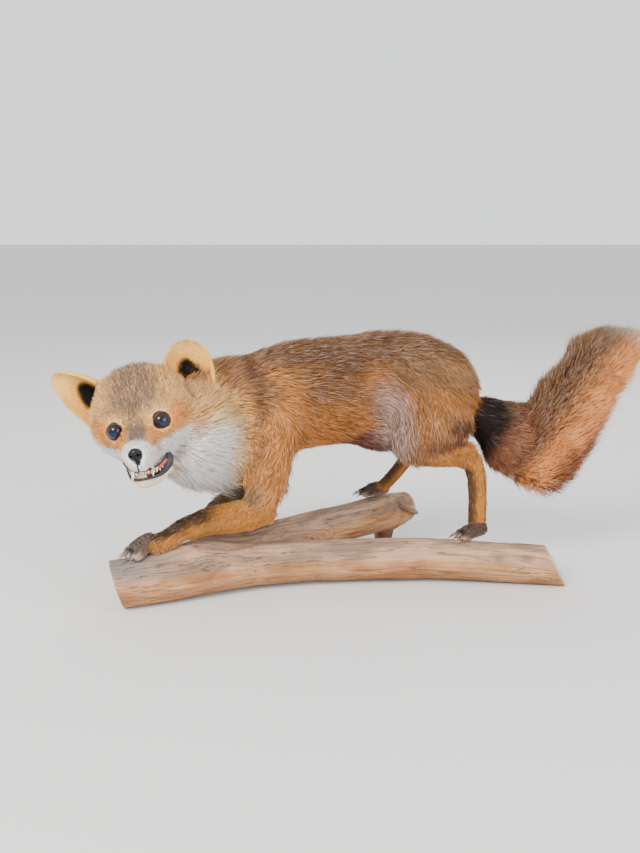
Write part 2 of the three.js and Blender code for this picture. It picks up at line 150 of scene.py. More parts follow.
def settled(name, mesh, modifiers):
    """The mesh after these modifiers, each a kind and its settings, as a new mesh."""
    holder = put(name, mesh)
    for kind, settings in modifiers:
        modifier = holder.modifiers.new(kind.lower(), kind)
        for key, value in settings.items():
            setattr(modifier, key, value)
    view = bpy.context.evaluated_depsgraph_get()
    result = bpy.data.meshes.new_from_object(holder.evaluated_get(view))
    bpy.data.objects.remove(holder)
    result.name = name
    return result


def solids(*nodes):
    """CAD solids in one bmesh, with the corners of their faces joined up."""
    made = bmesh.new()
    for node in nodes:
        made.from_mesh(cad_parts[node].data)
    bmesh.ops.remove_doubles(made, verts=made.verts, dist=SAME_CORNER)
    return made


def welded(name, nodes, voxel, smooth_rounds):
    """One smooth closed skin over several CAD solids."""
    whole = bmesh.new()
    for node in nodes:
        solid = solids(node)
        solid.normal_update()
        for corner in solid.verts:
            corner.co += WELD * corner.normal
        part = mesh_of("part", solid)
        whole.from_mesh(part)
        bpy.data.meshes.remove(part)
    joined = mesh_of(name, whole)
    joined.materials.clear()
    remesh = ("REMESH", {"mode": "VOXEL", "voxel_size": voxel, "use_smooth_shade": True})
    smooth = ("SMOOTH", {"factor": 0.5, "iterations": smooth_rounds})
    return settled(name, joined, [remesh, smooth])


def read(items, name, wide, kind=np.float32):
    """A row of values of each item of a mesh."""
    found = np.empty(len(items) * wide, kind)
    items.foreach_get(name, found)
    return found.reshape(-1, wide)


def places_of(mesh):
    return read(mesh.vertices, "co", 3).astype(float)


def normals_of(mesh):
    return read(mesh.vertices, "normal", 3).astype(float)


def put_places(mesh, places):
    mesh.vertices.foreach_set("co", places.astype(np.float32).ravel())
    mesh.update()


def ramp(low, high, value):
    """0 below low, 1 above high, and smooth between."""
    t = np.clip((value - low) / (high - low), 0, 1)
    return t * t * (3 - 2 * t)


def bell(value):
    """1 at nought, and less on both sides of it."""
    return np.exp(-(value**2))


def put_vectors(mesh, name, values):
    layer = mesh.attributes.new(name, "FLOAT_VECTOR", "POINT")
    layer.data.foreach_set("vector", values.astype(np.float32).ravel())


def put_colours(mesh, name, colours):
    layer = mesh.attributes.new(name, "FLOAT_COLOR", "POINT")
    whole = np.ones((len(colours), 4), np.float32)
    whole[:, :3] = colours
    layer.data.foreach_set("color", whole.ravel())


def add_piece(name, mesh, material, nodes=()):
    piece = put(name, mesh)
    mesh.materials.clear()
    mesh.materials.append(material)
    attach(piece, "root")
    if nodes:
        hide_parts(*nodes)
    return piece


class Wire:
    """The outlet of a shader node, with which sums can be written."""

    def __init__(self, finish, socket):
        self.finish = finish
        self.socket = socket

    def __add__(self, other):
        return self.finish.sum("ADD", self, other)

    def __sub__(self, other):
        return self.finish.sum("SUBTRACT", self, other)

    def __rsub__(self, other):
        return self.finish.sum("SUBTRACT", other, self)

    def __mul__(self, other):
        return self.finish.sum("MULTIPLY", self, other)

    __radd__ = __add__
    __rmul__ = __mul__


class Finish:
    """A material made of nodes."""

    def __init__(self, name, **constants):
        self.material = bpy.data.materials.new(name)
        self.material.use_nodes = True
        self.tree = self.material.node_tree
        self.shader = self.tree.nodes["Principled BSDF"]
        for socket, value in constants.items():
            self.shader.inputs[socket.replace("_", " ")].default_value = value

    def node(self, kind, settings=None, output=0, **sockets):
        made = self.tree.nodes.new("ShaderNode" + kind)
        for key, value in (settings or {}).items():
            setattr(made, key, value)
        for key, value in sockets.items():
            slot = int(key[1:]) if key[0] == "_" else key.replace("_", " ")
            self.feed(made.inputs[slot], value)
        return Wire(self, made.outputs[output])

    def feed(self, socket, value):
        if isinstance(value, Wire):
            self.tree.links.new(value.socket, socket)
        else:
            socket.default_value = value

    def sum(self, operation, a, b=0.0):
        return self.node("Math", {"operation": operation}, _0=a, _1=b)

    def mix(self, share, a, b, blend="MIX"):
        """Two colours mixed, each a wire or six hex digits."""
        colours = [v if isinstance(v, Wire) else (*dye(v), 1) for v in (a, b)]
        settings = {"data_type": "RGBA", "blend_type": blend}
        return self.node("Mix", settings, 2, _0=share, _6=colours[0], _7=colours[1])

    def ramp(self, value, low, high):
        """0 below low and 1 above high."""
        limits = {"From_Min": low, "From_Max": high, "To_Min": 0.0, "To_Max": 1.0}
        return self.node("MapRange", {"interpolation_type": "SMOOTHSTEP"}, Value=value, **limits)

    def here(self):
        return self.node("TexCoord", None, 3)

    def noise(self, vector, scale, detail=3.0):
        return self.node("TexNoise", None, 0, Vector=vector, Scale=scale, Detail=detail)

    def stretched(self, vector, scale):
        return self.node("Mapping", None, 0, Vector=vector, Scale=scale)

    def attribute(self, name, output=0):
        return self.node("Attribute", {"attribute_name": name}, output)

    def paint(self, **sockets):
        for key, value in sockets.items():
            self.feed(self.shader.inputs[key.replace("_", " ")], value)
        return self.material

    def bump(self, height, distance, strength=1.0):
        return self.node("Bump", None, 0, Height=height, Distance=distance, Strength=strength)


def dye(code):
    """A colour given as six hex digits, as light the shader can use."""
    shares = [int(code[i : i + 2], 16) / 255 for i in (0, 2, 4)]
    return tuple(s / 12.92 if s <= 0.04045 else ((s + 0.055) / 1.055) ** 2.4 for s in shares)


# Marks on the wood: where each is in metres, its radius, and how deep it is sunk.
KNOTS = [
    ((-0.262, -0.122, 0.055), 0.012, 0.004),
    ((0.216, -0.045, 0.058), 0.009, 0.003),
    ((0.262, -0.05, 0.056), 0.01, 0.003),
    ((0.021, -0.05, 0.06), 0.01, 0.003),
    ((-0.12, -0.066, 0.03), 0.008, 0.002),
    ((-0.06, 0.02, 0.085), 0.012, 0.004),
]
NAIL_HOLE = (-0.2235, -0.095, 0.071)
NAIL_HOLE_RADIUS = 2.2 * MM
FOOT = (0.045, 0.145)  # the dark knot that the rear limb stands on


def branch_mesh():
    mesh = welded("branch", BRANCH, WOOD_VOXEL, 3)
    places, normals = places_of(mesh), normals_of(mesh)
    lines = []
    for node in BRANCH:
        limb = np.array([v.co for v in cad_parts[node].data.vertices])
        lines.append([np.poly1d(np.polyfit(limb[:, 0], limb[:, k], 3)) for k in (1, 2)])
    x, y, z = places.T
    offsets = [(y - across(x), z - height(x)) for across, height in lines]
    reach = [np.hypot(*pair) for pair in offsets]
    on_rear = ramp(-0.01, 0.01, reach[0] - reach[1])
    across = offsets[0][0] * (1 - on_rear) + offsets[1][0] * on_rear
    height = offsets[0][1] * (1 - on_rear) + offsets[1][1] * on_rear
    along = x * (1 + 0.25 * on_rear) + 2 * on_rear
    grain = np.stack([along, across, height], axis=1)

    sunk = np.zeros(len(places))
    dark = 0.8 * ramp(0.05, 0.02, np.hypot(x - FOOT[0], y - FOOT[1])) * ramp(0.06, 0.035, z)
    for place, radius, depth in KNOTS:
        away = np.linalg.norm((places - place) * (0.55, 1, 1), axis=1)
        ring = ramp(1.5 * radius, 0.9 * radius, away)
        sunk += depth * (ramp(radius, 0.2 * radius, away) - 0.5 * ring)
        dark = np.maximum(dark, ramp(1.3 * radius, 0.4 * radius, away))
    from_hole = np.linalg.norm(places - NAIL_HOLE, axis=1)
    hole = ramp(1.6 * NAIL_HOLE_RADIUS, NAIL_HOLE_RADIUS, from_hole)
    dark = np.maximum(dark, hole)
    sunk += 3 * MM * hole
    rough = np.empty(len(places))
    for i, (s, a, h) in enumerate(grain):
        ridges = noise.noise((9 * s, 70 * a, 70 * h))
        swells = noise.noise((14 * s + 5, 22 * a, 22 * h))
        cracks = abs(noise.noise((5 * s + 9, 45 * a, 45 * h)))
        rough[i] = 0.9 * ridges + 1.3 * swells - 2.2 * max(0, 0.09 - cracks) / 0.09
    inner_side = ramp(-0.115, -0.08, y)
    collar = bell((x + 0.318) / 0.05) * inner_side * ramp(0.2, 0.7, normals[:, 2])
    places[:, 2] += COLLAR_HEIGHT * collar
    swell = bell((x + 0.262) / 0.035) * inner_side * ramp(0.1, 0.6, normals[:, 2])
    places[:, 2] += SWELL_HEIGHT * swell
    sawn = ramp(0.6, 0.85, np.abs(normals @ np.array([0.97, 0.1, 0.2])))
    lift = (rough * MM - 1.1 * MM) * (1 - 0.85 * sawn) - sunk
    places += normals * lift[:, None]
    places[:, 2] = np.maximum(places[:, 2], 0)
    put_places(mesh, places)
    put_vectors(mesh, "grain", grain)
    put_colours(mesh, "marks", np.stack([dark, sawn, ramp(-0.3, 0.75, normals[:, 2])], axis=1))
    return mesh


def wood_finish():
    wood = Finish("weathered_wood", Specular_IOR_Level=0.25)
    grain = wood.attribute("grain", 1)
    marks = wood.node("SeparateColor", None, 0, Color=wood.attribute("marks", 0))
    dark, sawn, top = (Wire(wood, marks.socket.node.outputs[k]) for k in range(3))
    fibres = wood.noise(wood.stretched(grain, (14, 420, 420)), 1.0, 4.0)
    streaks = wood.noise(wood.stretched(grain, (5, 90, 90)), 1.0, 4.0)
    patches = wood.noise(wood.stretched(grain, (10, 26, 26)), 1.0, 3.0)
    blots = wood.noise(wood.stretched(grain, (22, 60, 60)), 1.0, 2.0)
    crack_lines = wood.ramp(wood.sum("ABSOLUTE", streaks - 0.5), 0.009, 0.0)
    weather = wood.ramp(top + 0.55 * patches, 0.55, 1.15)
    fresh = wood.mix(wood.ramp(patches, 0.35, 0.65), "96663f", "b98a60")
    grey = wood.mix(wood.ramp(patches, 0.4, 0.62), "7b6455", "a8866c")
    colour = wood.mix(weather, fresh, grey)
    colour = wood.mix(0.4 * wood.ramp(streaks, 0.45, 0.75), colour, "c49b78")
    colour = wood.mix(0.45 * wood.ramp(fibres, 0.5, 0.72), colour, "75573f")
    colour = wood.mix(0.45 * wood.ramp(blots, 0.62, 0.75), colour, "6d5a4c")
    ends = wood.node("SeparateXYZ", None, 0, Vector=grain)
    worn_end = wood.ramp(ends + 0.06 * patches, -0.27, -0.36) * wood.ramp(top, 0.55, 0.9)
    colour = wood.mix(0.75 * worn_end, colour, "6f6b68")
    colour = wood.mix(0.6 * crack_lines, colour, "4f3b2c")
    rings_at = wood.node("VectorMath", {"operation": "MULTIPLY"}, 0, _0=grain, _1=(0, 1, 1))
    radius = wood.node("VectorMath", {"operation": "LENGTH"}, 1, _0=rings_at)
    rings = wood.sum("SINE", 1400 * (radius + 0.004 * patches))
    end_grain = wood.mix(0.35 * wood.ramp(rings, 0.0, 1.0), "c4ab8d", "8d7257")
    colour = wood.mix(sawn, colour, end_grain)
    colour = wood.mix(0.85 * dark, colour, "3d2f27")
    relief = fibres * 0.5 + 1.4 * streaks - 1.5 * crack_lines
    bump = wood.bump(relief, 0.9 * MM, 0.8)
    return wood.paint(Base_Color=colour, Roughness=0.72 + 0.15 * fibres, Normal=bump)


add_piece("branch", branch_mesh(), wood_finish(), BRANCH)


# ---- The broken twig ----
# The stub of a side twig that snapped off near the end of the rear limb. It is the same weathered
# wood as the branch, with a torn and paler end.

TWIG_SIDES = 20
# Where the middle of the twig runs, in metres, and its radius there in millimetres.
TWIG = [
    ((0.056, 0.152, 0.092), 8.0),
    ((0.074, 0.137, 0.087), 6.4),
    ((0.092, 0.127, 0.081), 5.4),
    ((0.097, 0.124, 0.079), 2.4),
]
TWIG_GRAIN = [[0.86, -0.45, -0.25], [0.46, 0.88, 0.0], [0.22, -0.12, 0.97]]


def rounded(name, mesh, levels):
    mesh = settled(name, mesh, [("SUBSURF", {"levels": levels, "render_levels": levels})])
    mesh.shade_smooth()
    return mesh


def hooped(tube, hoops, closed=False):
    """Draws a skin over a row of hoops of points, from each hoop to the next."""
    rims = []
    for k, hoop in enumerate(hoops):
        capped = not closed and k in (0, len(hoops) - 1)
        ring = bmesh.ops.create_circle(tube, cap_ends=capped, segments=len(hoop), radius=1)["verts"]
        for corner, place in zip(ring, hoop):
            corner.co = place
        rims.append(list(dict.fromkeys(edge for corner in ring for edge in corner.link_edges)))
    if closed:
        rims.append(rims[0])
    for low, high in zip(rims, rims[1:]):
        bmesh.ops.bridge_loops(tube, edges=low + high)
    bmesh.ops.recalc_face_normals(tube, faces=tube.faces)


def twig_mesh():
    twig = bmesh.new()
    hoops = []
    for k, (place, radius) in enumerate(TWIG):
        before, after = TWIG[max(k - 1, 0)][0], TWIG[min(k + 1, len(TWIG) - 1)][0]
        way = (Vector(after) - Vector(before)).to_track_quat("Z", "Y").to_matrix()
        hoop = []
        for side in range(TWIG_SIDES):
            angle = math.tau * side / TWIG_SIDES
            corner = Vector((math.cos(angle), math.sin(angle), 0)) * radius * MM
            rough = 1 + 0.16 * noise.noise(Vector((0.4 * k, *(corner * 240).xy)))
            hoop.append(Vector(place) + way @ (corner * rough))
        hoops.append(hoop)
    hooped(twig, hoops)
    mesh = rounded("twig", mesh_of("twig", twig), 1)
    places = places_of(mesh)
    put_vectors(mesh, "grain", places @ np.array(TWIG_GRAIN).T)
    dark, weathered = np.full(len(places), 0.45), np.ones(len(places))
    broken_end = ramp(0.094, 0.097, places[:, 0])
    put_colours(mesh, "marks", np.stack([dark, broken_end, weathered], axis=1))
    return mesh


add_piece("twig", twig_mesh(), bpy.data.materials["weathered_wood"])


# ---- The skin ----
# The tanned skin of the whole fox, drawn over a carved form and sewn shut, from the nose to the
# tip of the tail. It lies under the outline of the coat by the coat's own depth.

SKIN_VOXEL = 2.1 * MM
SKIN_ROUNDS = 6
SKIN_SHARE = 0.405  # of the faces that stay, most of them where the skin bends
NOT_FLESH = ("claw", "eye", "nose", "tongue", "branch")
FLESH = sorted(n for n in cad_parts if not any(word in n for word in NOT_FLESH))

# The coat over each part: its depth, the length and width of a tuft in millimetres, and the
# number of tufts on a square centimetre.
COAT = {
    "head": (3.6, 11.0, 0.9, 62),
    "jaw": (1.2, 3.0, 0.7, 0),
    "ear": (0.5, 5.0, 0.7, 60),
    "neck": (12.0, 32.0, 1.25, 26),
    "trunk": (7.5, 24.0, 1.25, 24),
    "tail_root": (12.0, 24.0, 1.4, 36),
    "tail_brush": (27.0, 27.0, 1.3, 44),
    "tail_tip": (16.0, 26.0, 1.3, 44),
    "upper": (6.0, 20.0, 1.3, 22),
    "forearm": (3.6, 11.0, 1.0, 48),
    "thigh": (7.5, 22.0, 1.3, 20),
    "shank": (4.6, 14.0, 1.1, 36),
    "metatarsus": (3.0, 9.0, 0.9, 60),
    "paw": (1.3, 3.6, 0.7, 85),
}
LEGS = ["foreleg_left", "foreleg_right", "hindleg_left", "hindleg_right"]
FORE_PAWS, HIND_PAWS = [f"{leg}_paw" for leg in LEGS[:2]], [f"{leg}_paw" for leg in LEGS[2:]]
LEG_PARTS = {"fore": ["upper", "forearm", "paw"], "hind": ["thigh", "shank", "metatarsus", "paw"]}
# The order in which the coat runs over the parts, for the way that it lies.
CHAINS = [["head", "neck", "trunk", "tail_root", "tail_brush", "tail_tip"]]
CHAINS += [[f"{leg}_{part}" for part in LEG_PARTS[leg[:4]]] for leg in LEGS]


def coat_of(node):
    return next(values for part, values in COAT.items() if node.startswith(part) or node.endswith(part))


def unit(vectors):
    return vectors / np.maximum(np.linalg.norm(vectors, axis=-1, keepdims=True), 1e-12)


def lengths(vectors):
    return np.linalg.norm(vectors, axis=1)


class Neighbours:
    """Which points of a mesh are joined by an edge, for smoothing values over it."""

    def __init__(self, mesh):
        ends = read(mesh.edges, "vertices", 2, np.int32)
        both = np.concatenate([ends, ends[:, ::-1]])
        both = both[np.argsort(both[:, 0], kind="stable")]
        self.other = both[:, 1]
        self.count = np.bincount(both[:, 0], minlength=len(mesh.vertices)).clip(1)
        self.start = np.concatenate([[0], np.cumsum(self.count)[:-1]]).clip(0, len(both) - 1)

    def smooth(self, values, rounds):
        for _ in range(rounds):
            near = np.add.reduceat(values[self.other], self.start, axis=0)
            share = self.count if values.ndim == 1 else self.count[:, None]
            values = 0.4 * values + 0.6 * near / share
        return values


def nearest_nodes(places, nodes):
    """For each place, the number of the CAD node whose surface is nearest."""
    corners, faces, owner = [], [], []
    for number, node in enumerate(nodes):
        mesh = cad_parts[node].data
        first = len(corners)
        corners.extend(v.co for v in mesh.vertices)
        faces.extend([first + k for k in face.vertices] for face in mesh.polygons)
        owner.extend([number] * len(mesh.polygons))
    tree = BVHTree.FromPolygons(corners, faces)
    return np.array([owner[tree.find_nearest(place)[2]] for place in places])


# The frame of the head: X to the animal's right, Y to the nose, Z up, from between the eyes.
NOSE_BELOW = math.atan2(27, 68)
head_x = (middle("eye_right") - middle("eye_left")).normalized()
to_nose = middle("nose") - EYES_MIDDLE
to_nose = (to_nose - head_x * to_nose.dot(head_x)).normalized()
head_y = Matrix.Rotation(NOSE_BELOW, 3, head_x) @ to_nose
head_z = head_x.cross(head_y)
HEAD = Matrix((head_x, head_y, head_z)).transposed()
HEAD_AXES = np.array(HEAD)


def in_head(places):
    """Places in the frame of the head, in millimetres."""
    return (places - np.array(EYES_MIDDLE)) @ HEAD_AXES / MM


def from_head(points):
    return np.array(points, float) * MM @ HEAD_AXES.T + np.array(EYES_MIDDLE)


EYE_RADIUS = 14.0
LID = 1.1  # thickness of a lid
EYE_SPREAD = 36.5
EYES = {-1: "left", 1: "right"}
# Where each ear stands on the head, and the way that it points, in the frame of the head.
EAR_FEET = {"right": np.array([64.0, -62, 26]), "left": np.array([-80.0, -58, 18])}
EAR_WAYS = {"right": np.array([0.66, -0.06, 0.75]), "left": np.array([-0.22, -0.12, 0.97])}
EAR_FRONT = np.array([0, 1.0, 0.15])  # the way that the hollows of the ears face


def from_eye(h, side):
    return h - (side * EYE_SPREAD, 0, 0)


def ear_frame(side, h):
    """Height up an ear and distance across it, in millimetres."""
    axis = unit(EAR_WAYS[side])
    front = unit(np.array([0, 1.0, 0]) - axis[1] * axis)
    from_foot = h - EAR_FEET[side]
    return from_foot @ axis, from_foot @ np.cross(front, axis)


def ear_pit(side, up, across):
    """Less than 1 inside the dark hollow of an ear."""
    slant = 0.45 * across * (1 if side == "left" else -1)
    return np.hypot(across / 22, (up - 22 - slant) / 27)


# The brush runs this way from its bend. Beyond TAIL_TUCK_FROM metres along it, the skin is drawn
# back by a tenth, so that the hair reaches past it.
TAIL_BEND = np.array(middle("tail_root"))
TAIL_WAY = np.array((middle("tail_tip") - middle("tail_brush")).normalized())
TAIL_TUCK_FROM = 0.16
TAIL_TUCK = 0.1


skin_mesh = welded("skin", FLESH, SKIN_VOXEL, SKIN_ROUNDS)
skin_mesh = settled("skin", skin_mesh, [("DECIMATE", {"ratio": SKIN_SHARE})])
skin_near = Neighbours(skin_mesh)
skin_owner = nearest_nodes(places_of(skin_mesh), FLESH)
coat_values = np.array([coat_of(node) for node in FLESH])[skin_owner]


def over(*words):
    """Which points of the skin are over a part with one of these words in its name."""
    return np.array([any(word in node for word in words) for node in FLESH])[skin_owner]


def share_over(rounds, *words):
    """The same as a share from 0 to 1, spread over the skin in this many rounds."""
    return skin_near.smooth(over(*words).astype(float), rounds)


def lie_of_coat(places, normals):
    """The way that the hairs lie at each point of the skin: from the nose back, and down."""
    ways = np.zeros((len(FLESH), 3))
    for chain in CHAINS:
        for i, node in enumerate(chain):
            start, end = chain[max(i - 1, 0)], chain[min(i + 1, len(chain) - 1)]
            ways[FLESH.index(node)] = (middle(end) - middle(start)).normalized()
    for side, way in EAR_WAYS.items():
        ways[FLESH.index(f"ear_{side}")] = unit(way) @ HEAD_AXES.T
    lie = ways[skin_owner]
    h = in_head(places)
    on_head = over("head", "jaw")
    from_nose = unit(places - np.array(middle("nose")))
    lie[on_head] = from_nose[on_head]
    on_neck = over("neck")
    hang = on_neck * ramp(0.3, -0.5, normals[:, 2])
    lie += 1.1 * hang[:, None] * np.array([0.1, 0, -1])
    near_face = on_neck * ramp(190, 90, lengths(h))
    lie += 1.2 * near_face[:, None] * from_nose
    x, z = places[:, 0] / MM, places[:, 2] / MM
    on_body = over("trunk", "thigh")
    haunch = on_body * ramp(0, 60, x) * ramp(402, 370, z)
    lie += 1.0 * haunch[:, None] * np.array([0.15, 0, -1])
    belly = on_body * ramp(-20, -60, x) * ramp(360, 260, z)
    lie += 0.35 * belly[:, None] * np.array([0, 0, -1])
    lie = skin_near.smooth(lie, 30)
    for side in EYES:
        away = from_eye(h, side)
        near = ramp(36, 17, lengths(away)) * on_head
        lie += 1.6 * near[:, None] * (unit(away) @ HEAD_AXES.T)
    on_brush = share_over(5, "tail_brush", "tail_tip")[:, None]
    lie = lie * (1 - on_brush) + TAIL_WAY * on_brush
    lie -= normals * np.sum(lie * normals, axis=1, keepdims=True)
    return unit(lie)


def toes(places):
    """How near each point is to a gap between two toes, how far behind its claw, and if on a paw."""
    groove, along, on_paw = np.zeros(len(places)), np.full(len(places), 99.0), over("paw")
    for leg in LEGS:
        mine = over(f"{leg}_paw")
        claws = np.array([middle(f"{leg}_claw_{k}") for k in range(1, 5)])
        back = np.array(middle(f"{leg}_paw")) - claws.mean(axis=0)
        far = []
        for claw in claws:
            way = unit(unit(back) + 0.3 * unit(claws.mean(axis=0) - claw))
            behind = (places - claw) @ way
            nearest = claw + np.clip(behind, 0, 0.026)[:, None] * way
            far.append(lengths(places - nearest))
        far = np.sort(np.array(far), axis=0) / MM
        behind = (places - claws.mean(axis=0)) @ unit(back) / MM
        groove = np.where(mine, ramp(4.2, 0.8, far[1] - far[0]) * ramp(30, 16, behind), groove)
        along = np.where(mine, behind, along)
    return groove, along, on_paw


# Each eye looks this way in the head's frame, and its opening is this wide and high and turned.
GAZE = {-1: (-0.43, 0.87, 0.22), 1: (0.1, 0.97, 0.2)}
EYE_OPENING = {-1: (13.2, 10.8, 30), 1: (12.8, 11.8, 10)}


def eye_axes(side):
    """Across the opening, up it, and out along the gaze."""
    out = (HEAD @ Vector(GAZE[side])).normalized()
    level = HEAD @ Vector((-1, 0, 0))
    across = (level - out * out.dot(level)).normalized()
    across = Matrix.Rotation(math.radians(EYE_OPENING[side][2]), 3, out) @ across
    return across, out.cross(across), out


def eye_edge(side, angle):
    """How far from the gaze, in radians, the opening of an eye reaches in this direction."""
    wide, high = EYE_OPENING[side][:2]
    reach = np.hypot(high * np.cos(angle), wide * np.sin(angle))
    return np.arcsin(wide * high / reach / EYE_RADIUS)


def opened(places, side):
    """The skin moved off the glass of an eye, as far as the rim of its lids."""
    eye = from_head([side * EYE_SPREAD, 0, 0])
    away = places - eye
    far = lengths(away) / MM
    front = (away @ HEAD_AXES)[:, 1] / MM
    under_lid = (far < EYE_RADIUS + LID) & (front > -4) & (far > 0.1)
    away = away * np.where(under_lid, (EYE_RADIUS + LID) / np.maximum(far, 0.1), 1)[:, None]
    across, up, out = (np.array(axis) for axis in eye_axes(side))
    angle = np.arctan2(away @ up, away @ across)
    rim = eye_edge(side, angle) + 0.06
    tilt = np.arccos(np.clip(unit(away) @ out, -1, 1))
    sideways = across * np.cos(angle)[:, None] + up * np.sin(angle)[:, None]
    on_rim = (out * np.cos(rim)[:, None] + sideways * np.sin(rim)[:, None]) * (EYE_RADIUS + LID) * MM
    return eye + np.where(((far < 20) & (tilt < rim))[:, None], on_rim, away)


def drawn_in():
    """Moves the skin in from the outline of the coat, and shapes it."""
    places = places_of(skin_mesh)
    h = in_head(places)
    depth = coat_values[:, 0].copy()
    on_head = over("head")
    depth *= 1 - 0.55 * on_head * ramp(5, 35, h[:, 1])
    depth += 5 * on_head * ramp(-10, -60, h[:, 1]) * ramp(20, -20, h[:, 2])
    depth = skin_near.smooth(depth, 25)
    for side in EYES:
        depth *= ramp(16, 27, lengths(from_eye(h, side)))
    long_haired = (coat_values[:, 1] > 15).astype(float)
    large = skin_near.smooth(long_haired, 12)[:, None]
    places = places * (1 - large) + skin_near.smooth(places, 60) * large
    put_places(skin_mesh, places)
    places -= normals_of(skin_mesh) * depth[:, None] * MM
    on_tail = over("tail_brush", "tail_tip")
    beyond = np.clip((places - TAIL_BEND) @ TAIL_WAY - TAIL_TUCK_FROM, 0, None) * on_tail
    places -= TAIL_TUCK * beyond[:, None] * TAIL_WAY
    places = skin_near.smooth(places, 3)
    put_places(skin_mesh, places)

    x, z = places[:, 0] / MM, places[:, 2] / MM
    facing = normals_of(skin_mesh)

    def pull(way, height, share):
        """Pulls the skin this way by this many millimetres, times the share at each point."""
        places[:] += (height * MM * share)[:, None] * np.array(way)

    # The belly sags, the top of the left hock stands out, and the back is raised.
    trunk = share_over(6, "trunk")
    sag = trunk * bell((x - 5) / 38) * ramp(275, 245, z) * ramp(0.1, -0.5, facing[:, 2])
    pull((0, 0, -1), 9, sag)
    hock_top = ramp(-0.1, 0.6, facing[:, 2] + 0.5 * facing[:, 0])
    pull((0.35, 0, 0.9), 9, share_over(6, "hindleg_left_shank") * bell((x - 178) / 22) * hock_top)
    pull((0, 0, 1), 6, trunk * bell((x - 30) / 100) * ramp(0.3, 0.9, facing[:, 2]))
    # The fill between rump and hock, and the underside of the left wrist.
    rump = share_over(6, "trunk", "hindleg_left_thigh", "hindleg_left_shank")
    rump *= bell(np.hypot((x - 160) / 26, (z - 269) / 22))
    rump *= ramp(-0.2, 0.4, facing[:, 0] - 0.4 * facing[:, 2])
    pull((0.75, 0, -0.62), 20, rump)
    wrist = share_over(6, "foreleg_left_forearm", "foreleg_left_paw")
    near_wrist = lengths(places - (np.array(middle("foreleg_left_paw")) + (0.03, 0, 0.002)))
    pull((0, 0, -1), 6, wrist * (ramp(0.055, 0.02, near_wrist) * ramp(0.1, -0.5, facing[:, 2])))
    # The full low end of the brush, and the outside of its bend.
    low_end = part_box("tail_brush")[0].z
    low_half = ramp(low_end + 0.10, low_end + 0.03, places[:, 2])
    pull((-0.25, 0, -1), 14, share_over(4, "tail_brush") * low_half * ramp(0.3, -0.5, facing[:, 2]))
    bend = share_over(4, "tail_root", "tail_brush") * ramp(0.0, 0.5, facing @ np.array([-0.7, 0, -0.7]))
    pull((-0.75, 0, -0.65), 15, bend * bell(np.hypot((x - 250) / 34, (z - 202) / 30)))
    # The gaps between the toes, the chin lifted to the lip, and the crowns and hollows of the ears.
    groove, _, paw = toes(places)
    places -= normals_of(skin_mesh) * (2.8 * MM * groove * paw)[:, None]
    chin = share_over(2, "jaw") * ramp(-86, -68, h[:, 2])
    places += (4 * chin * MM)[:, None] * HEAD_AXES[:, 2]
    facing = (normals_of(skin_mesh) @ HEAD_AXES)[:, 1]
    for side, way in EAR_WAYS.items():
        ear = over(f"ear_{side}")
        up, across = ear_frame(side, h)
        crown = ear * ramp(50, 88, up) * bell(across / 17)
        places += (5 * crown * MM)[:, None] * (unit(way) @ HEAD_AXES.T)
        hollow = ear_pit(side, up, across)
        sunk = 2.6 * ramp(1.2, 0.5, hollow) - 1.3 * bell((hollow - 1.45) / 0.22)
        places -= (ear * ramp(0.1, 0.5, facing) * sunk * MM)[:, None] * np.array(HEAD_AXES[:, 1])
    for side in EYES:
        places = opened(places, side)
    put_places(skin_mesh, places)


drawn_in()


# Colours of the coat.
COLOURS = {
    "back": "8f6747",
    "flank": "c8833f",
    "shoulder": "eba45f",
    "haunch": "ae8357",
    "patch": "c4a593",
    "belly": "7b4b3f",
    "thigh": "cf925f",
    # The next colour is painted shade, laid in folds of the coat.
    "crease_shade": "4a2f24",
    "leg": "de9847",
    "leg_front": "4a3426",
    "forepaw": "62524a",
    "hindpaw": "554238",
    "tail_root": "261712",
    "tail_top": "8a6a48",
    "tail_low": "a0694a",
    "brush_upper": "8a6444",
    "brush_lower": "f8a563",
    "brush_edge": "86513a",
    "brush_tip": "d0c4b7",
    "bib": "fffaf6",
    "ruff": "fcc57c",
    "forehead": "b4906d",
    "rust": "e6933d",
    "bridge": "957c6e",
    "white": "ffffff",
    "ear": "ffbe5c",
    "ear_rim": "ffd688",
    "ear_back": "3a2a20",
    "ear_foot": "edc48c",
    # The next colour is both the black hair in the hollows of the ears and painted shade in the gaps
    # between the toes.
    "pit": "120d0b",
    "toe": "cdb8a6",
    # The next colour is olive-grey fur, painted paler to stand in for light in the shade under the bib.
    "olive": "bfae8a",
    "jaw": "f7e0c4",
    "mouth": "7c2c2a",
}
COLOURS = {name: np.array(dye(code)) for name, code in COLOURS.items()}


def waves(places, size, seed):
    """A smooth wandering value from -1 to 1 over space, with swells of about this size."""
    chance = np.random.default_rng(seed)
    ways = chance.normal(size=(5, 3)) / size
    turns = chance.uniform(0, 6.28, 5)
    return np.sin(places @ ways.T + turns).mean(axis=1) * 1.6


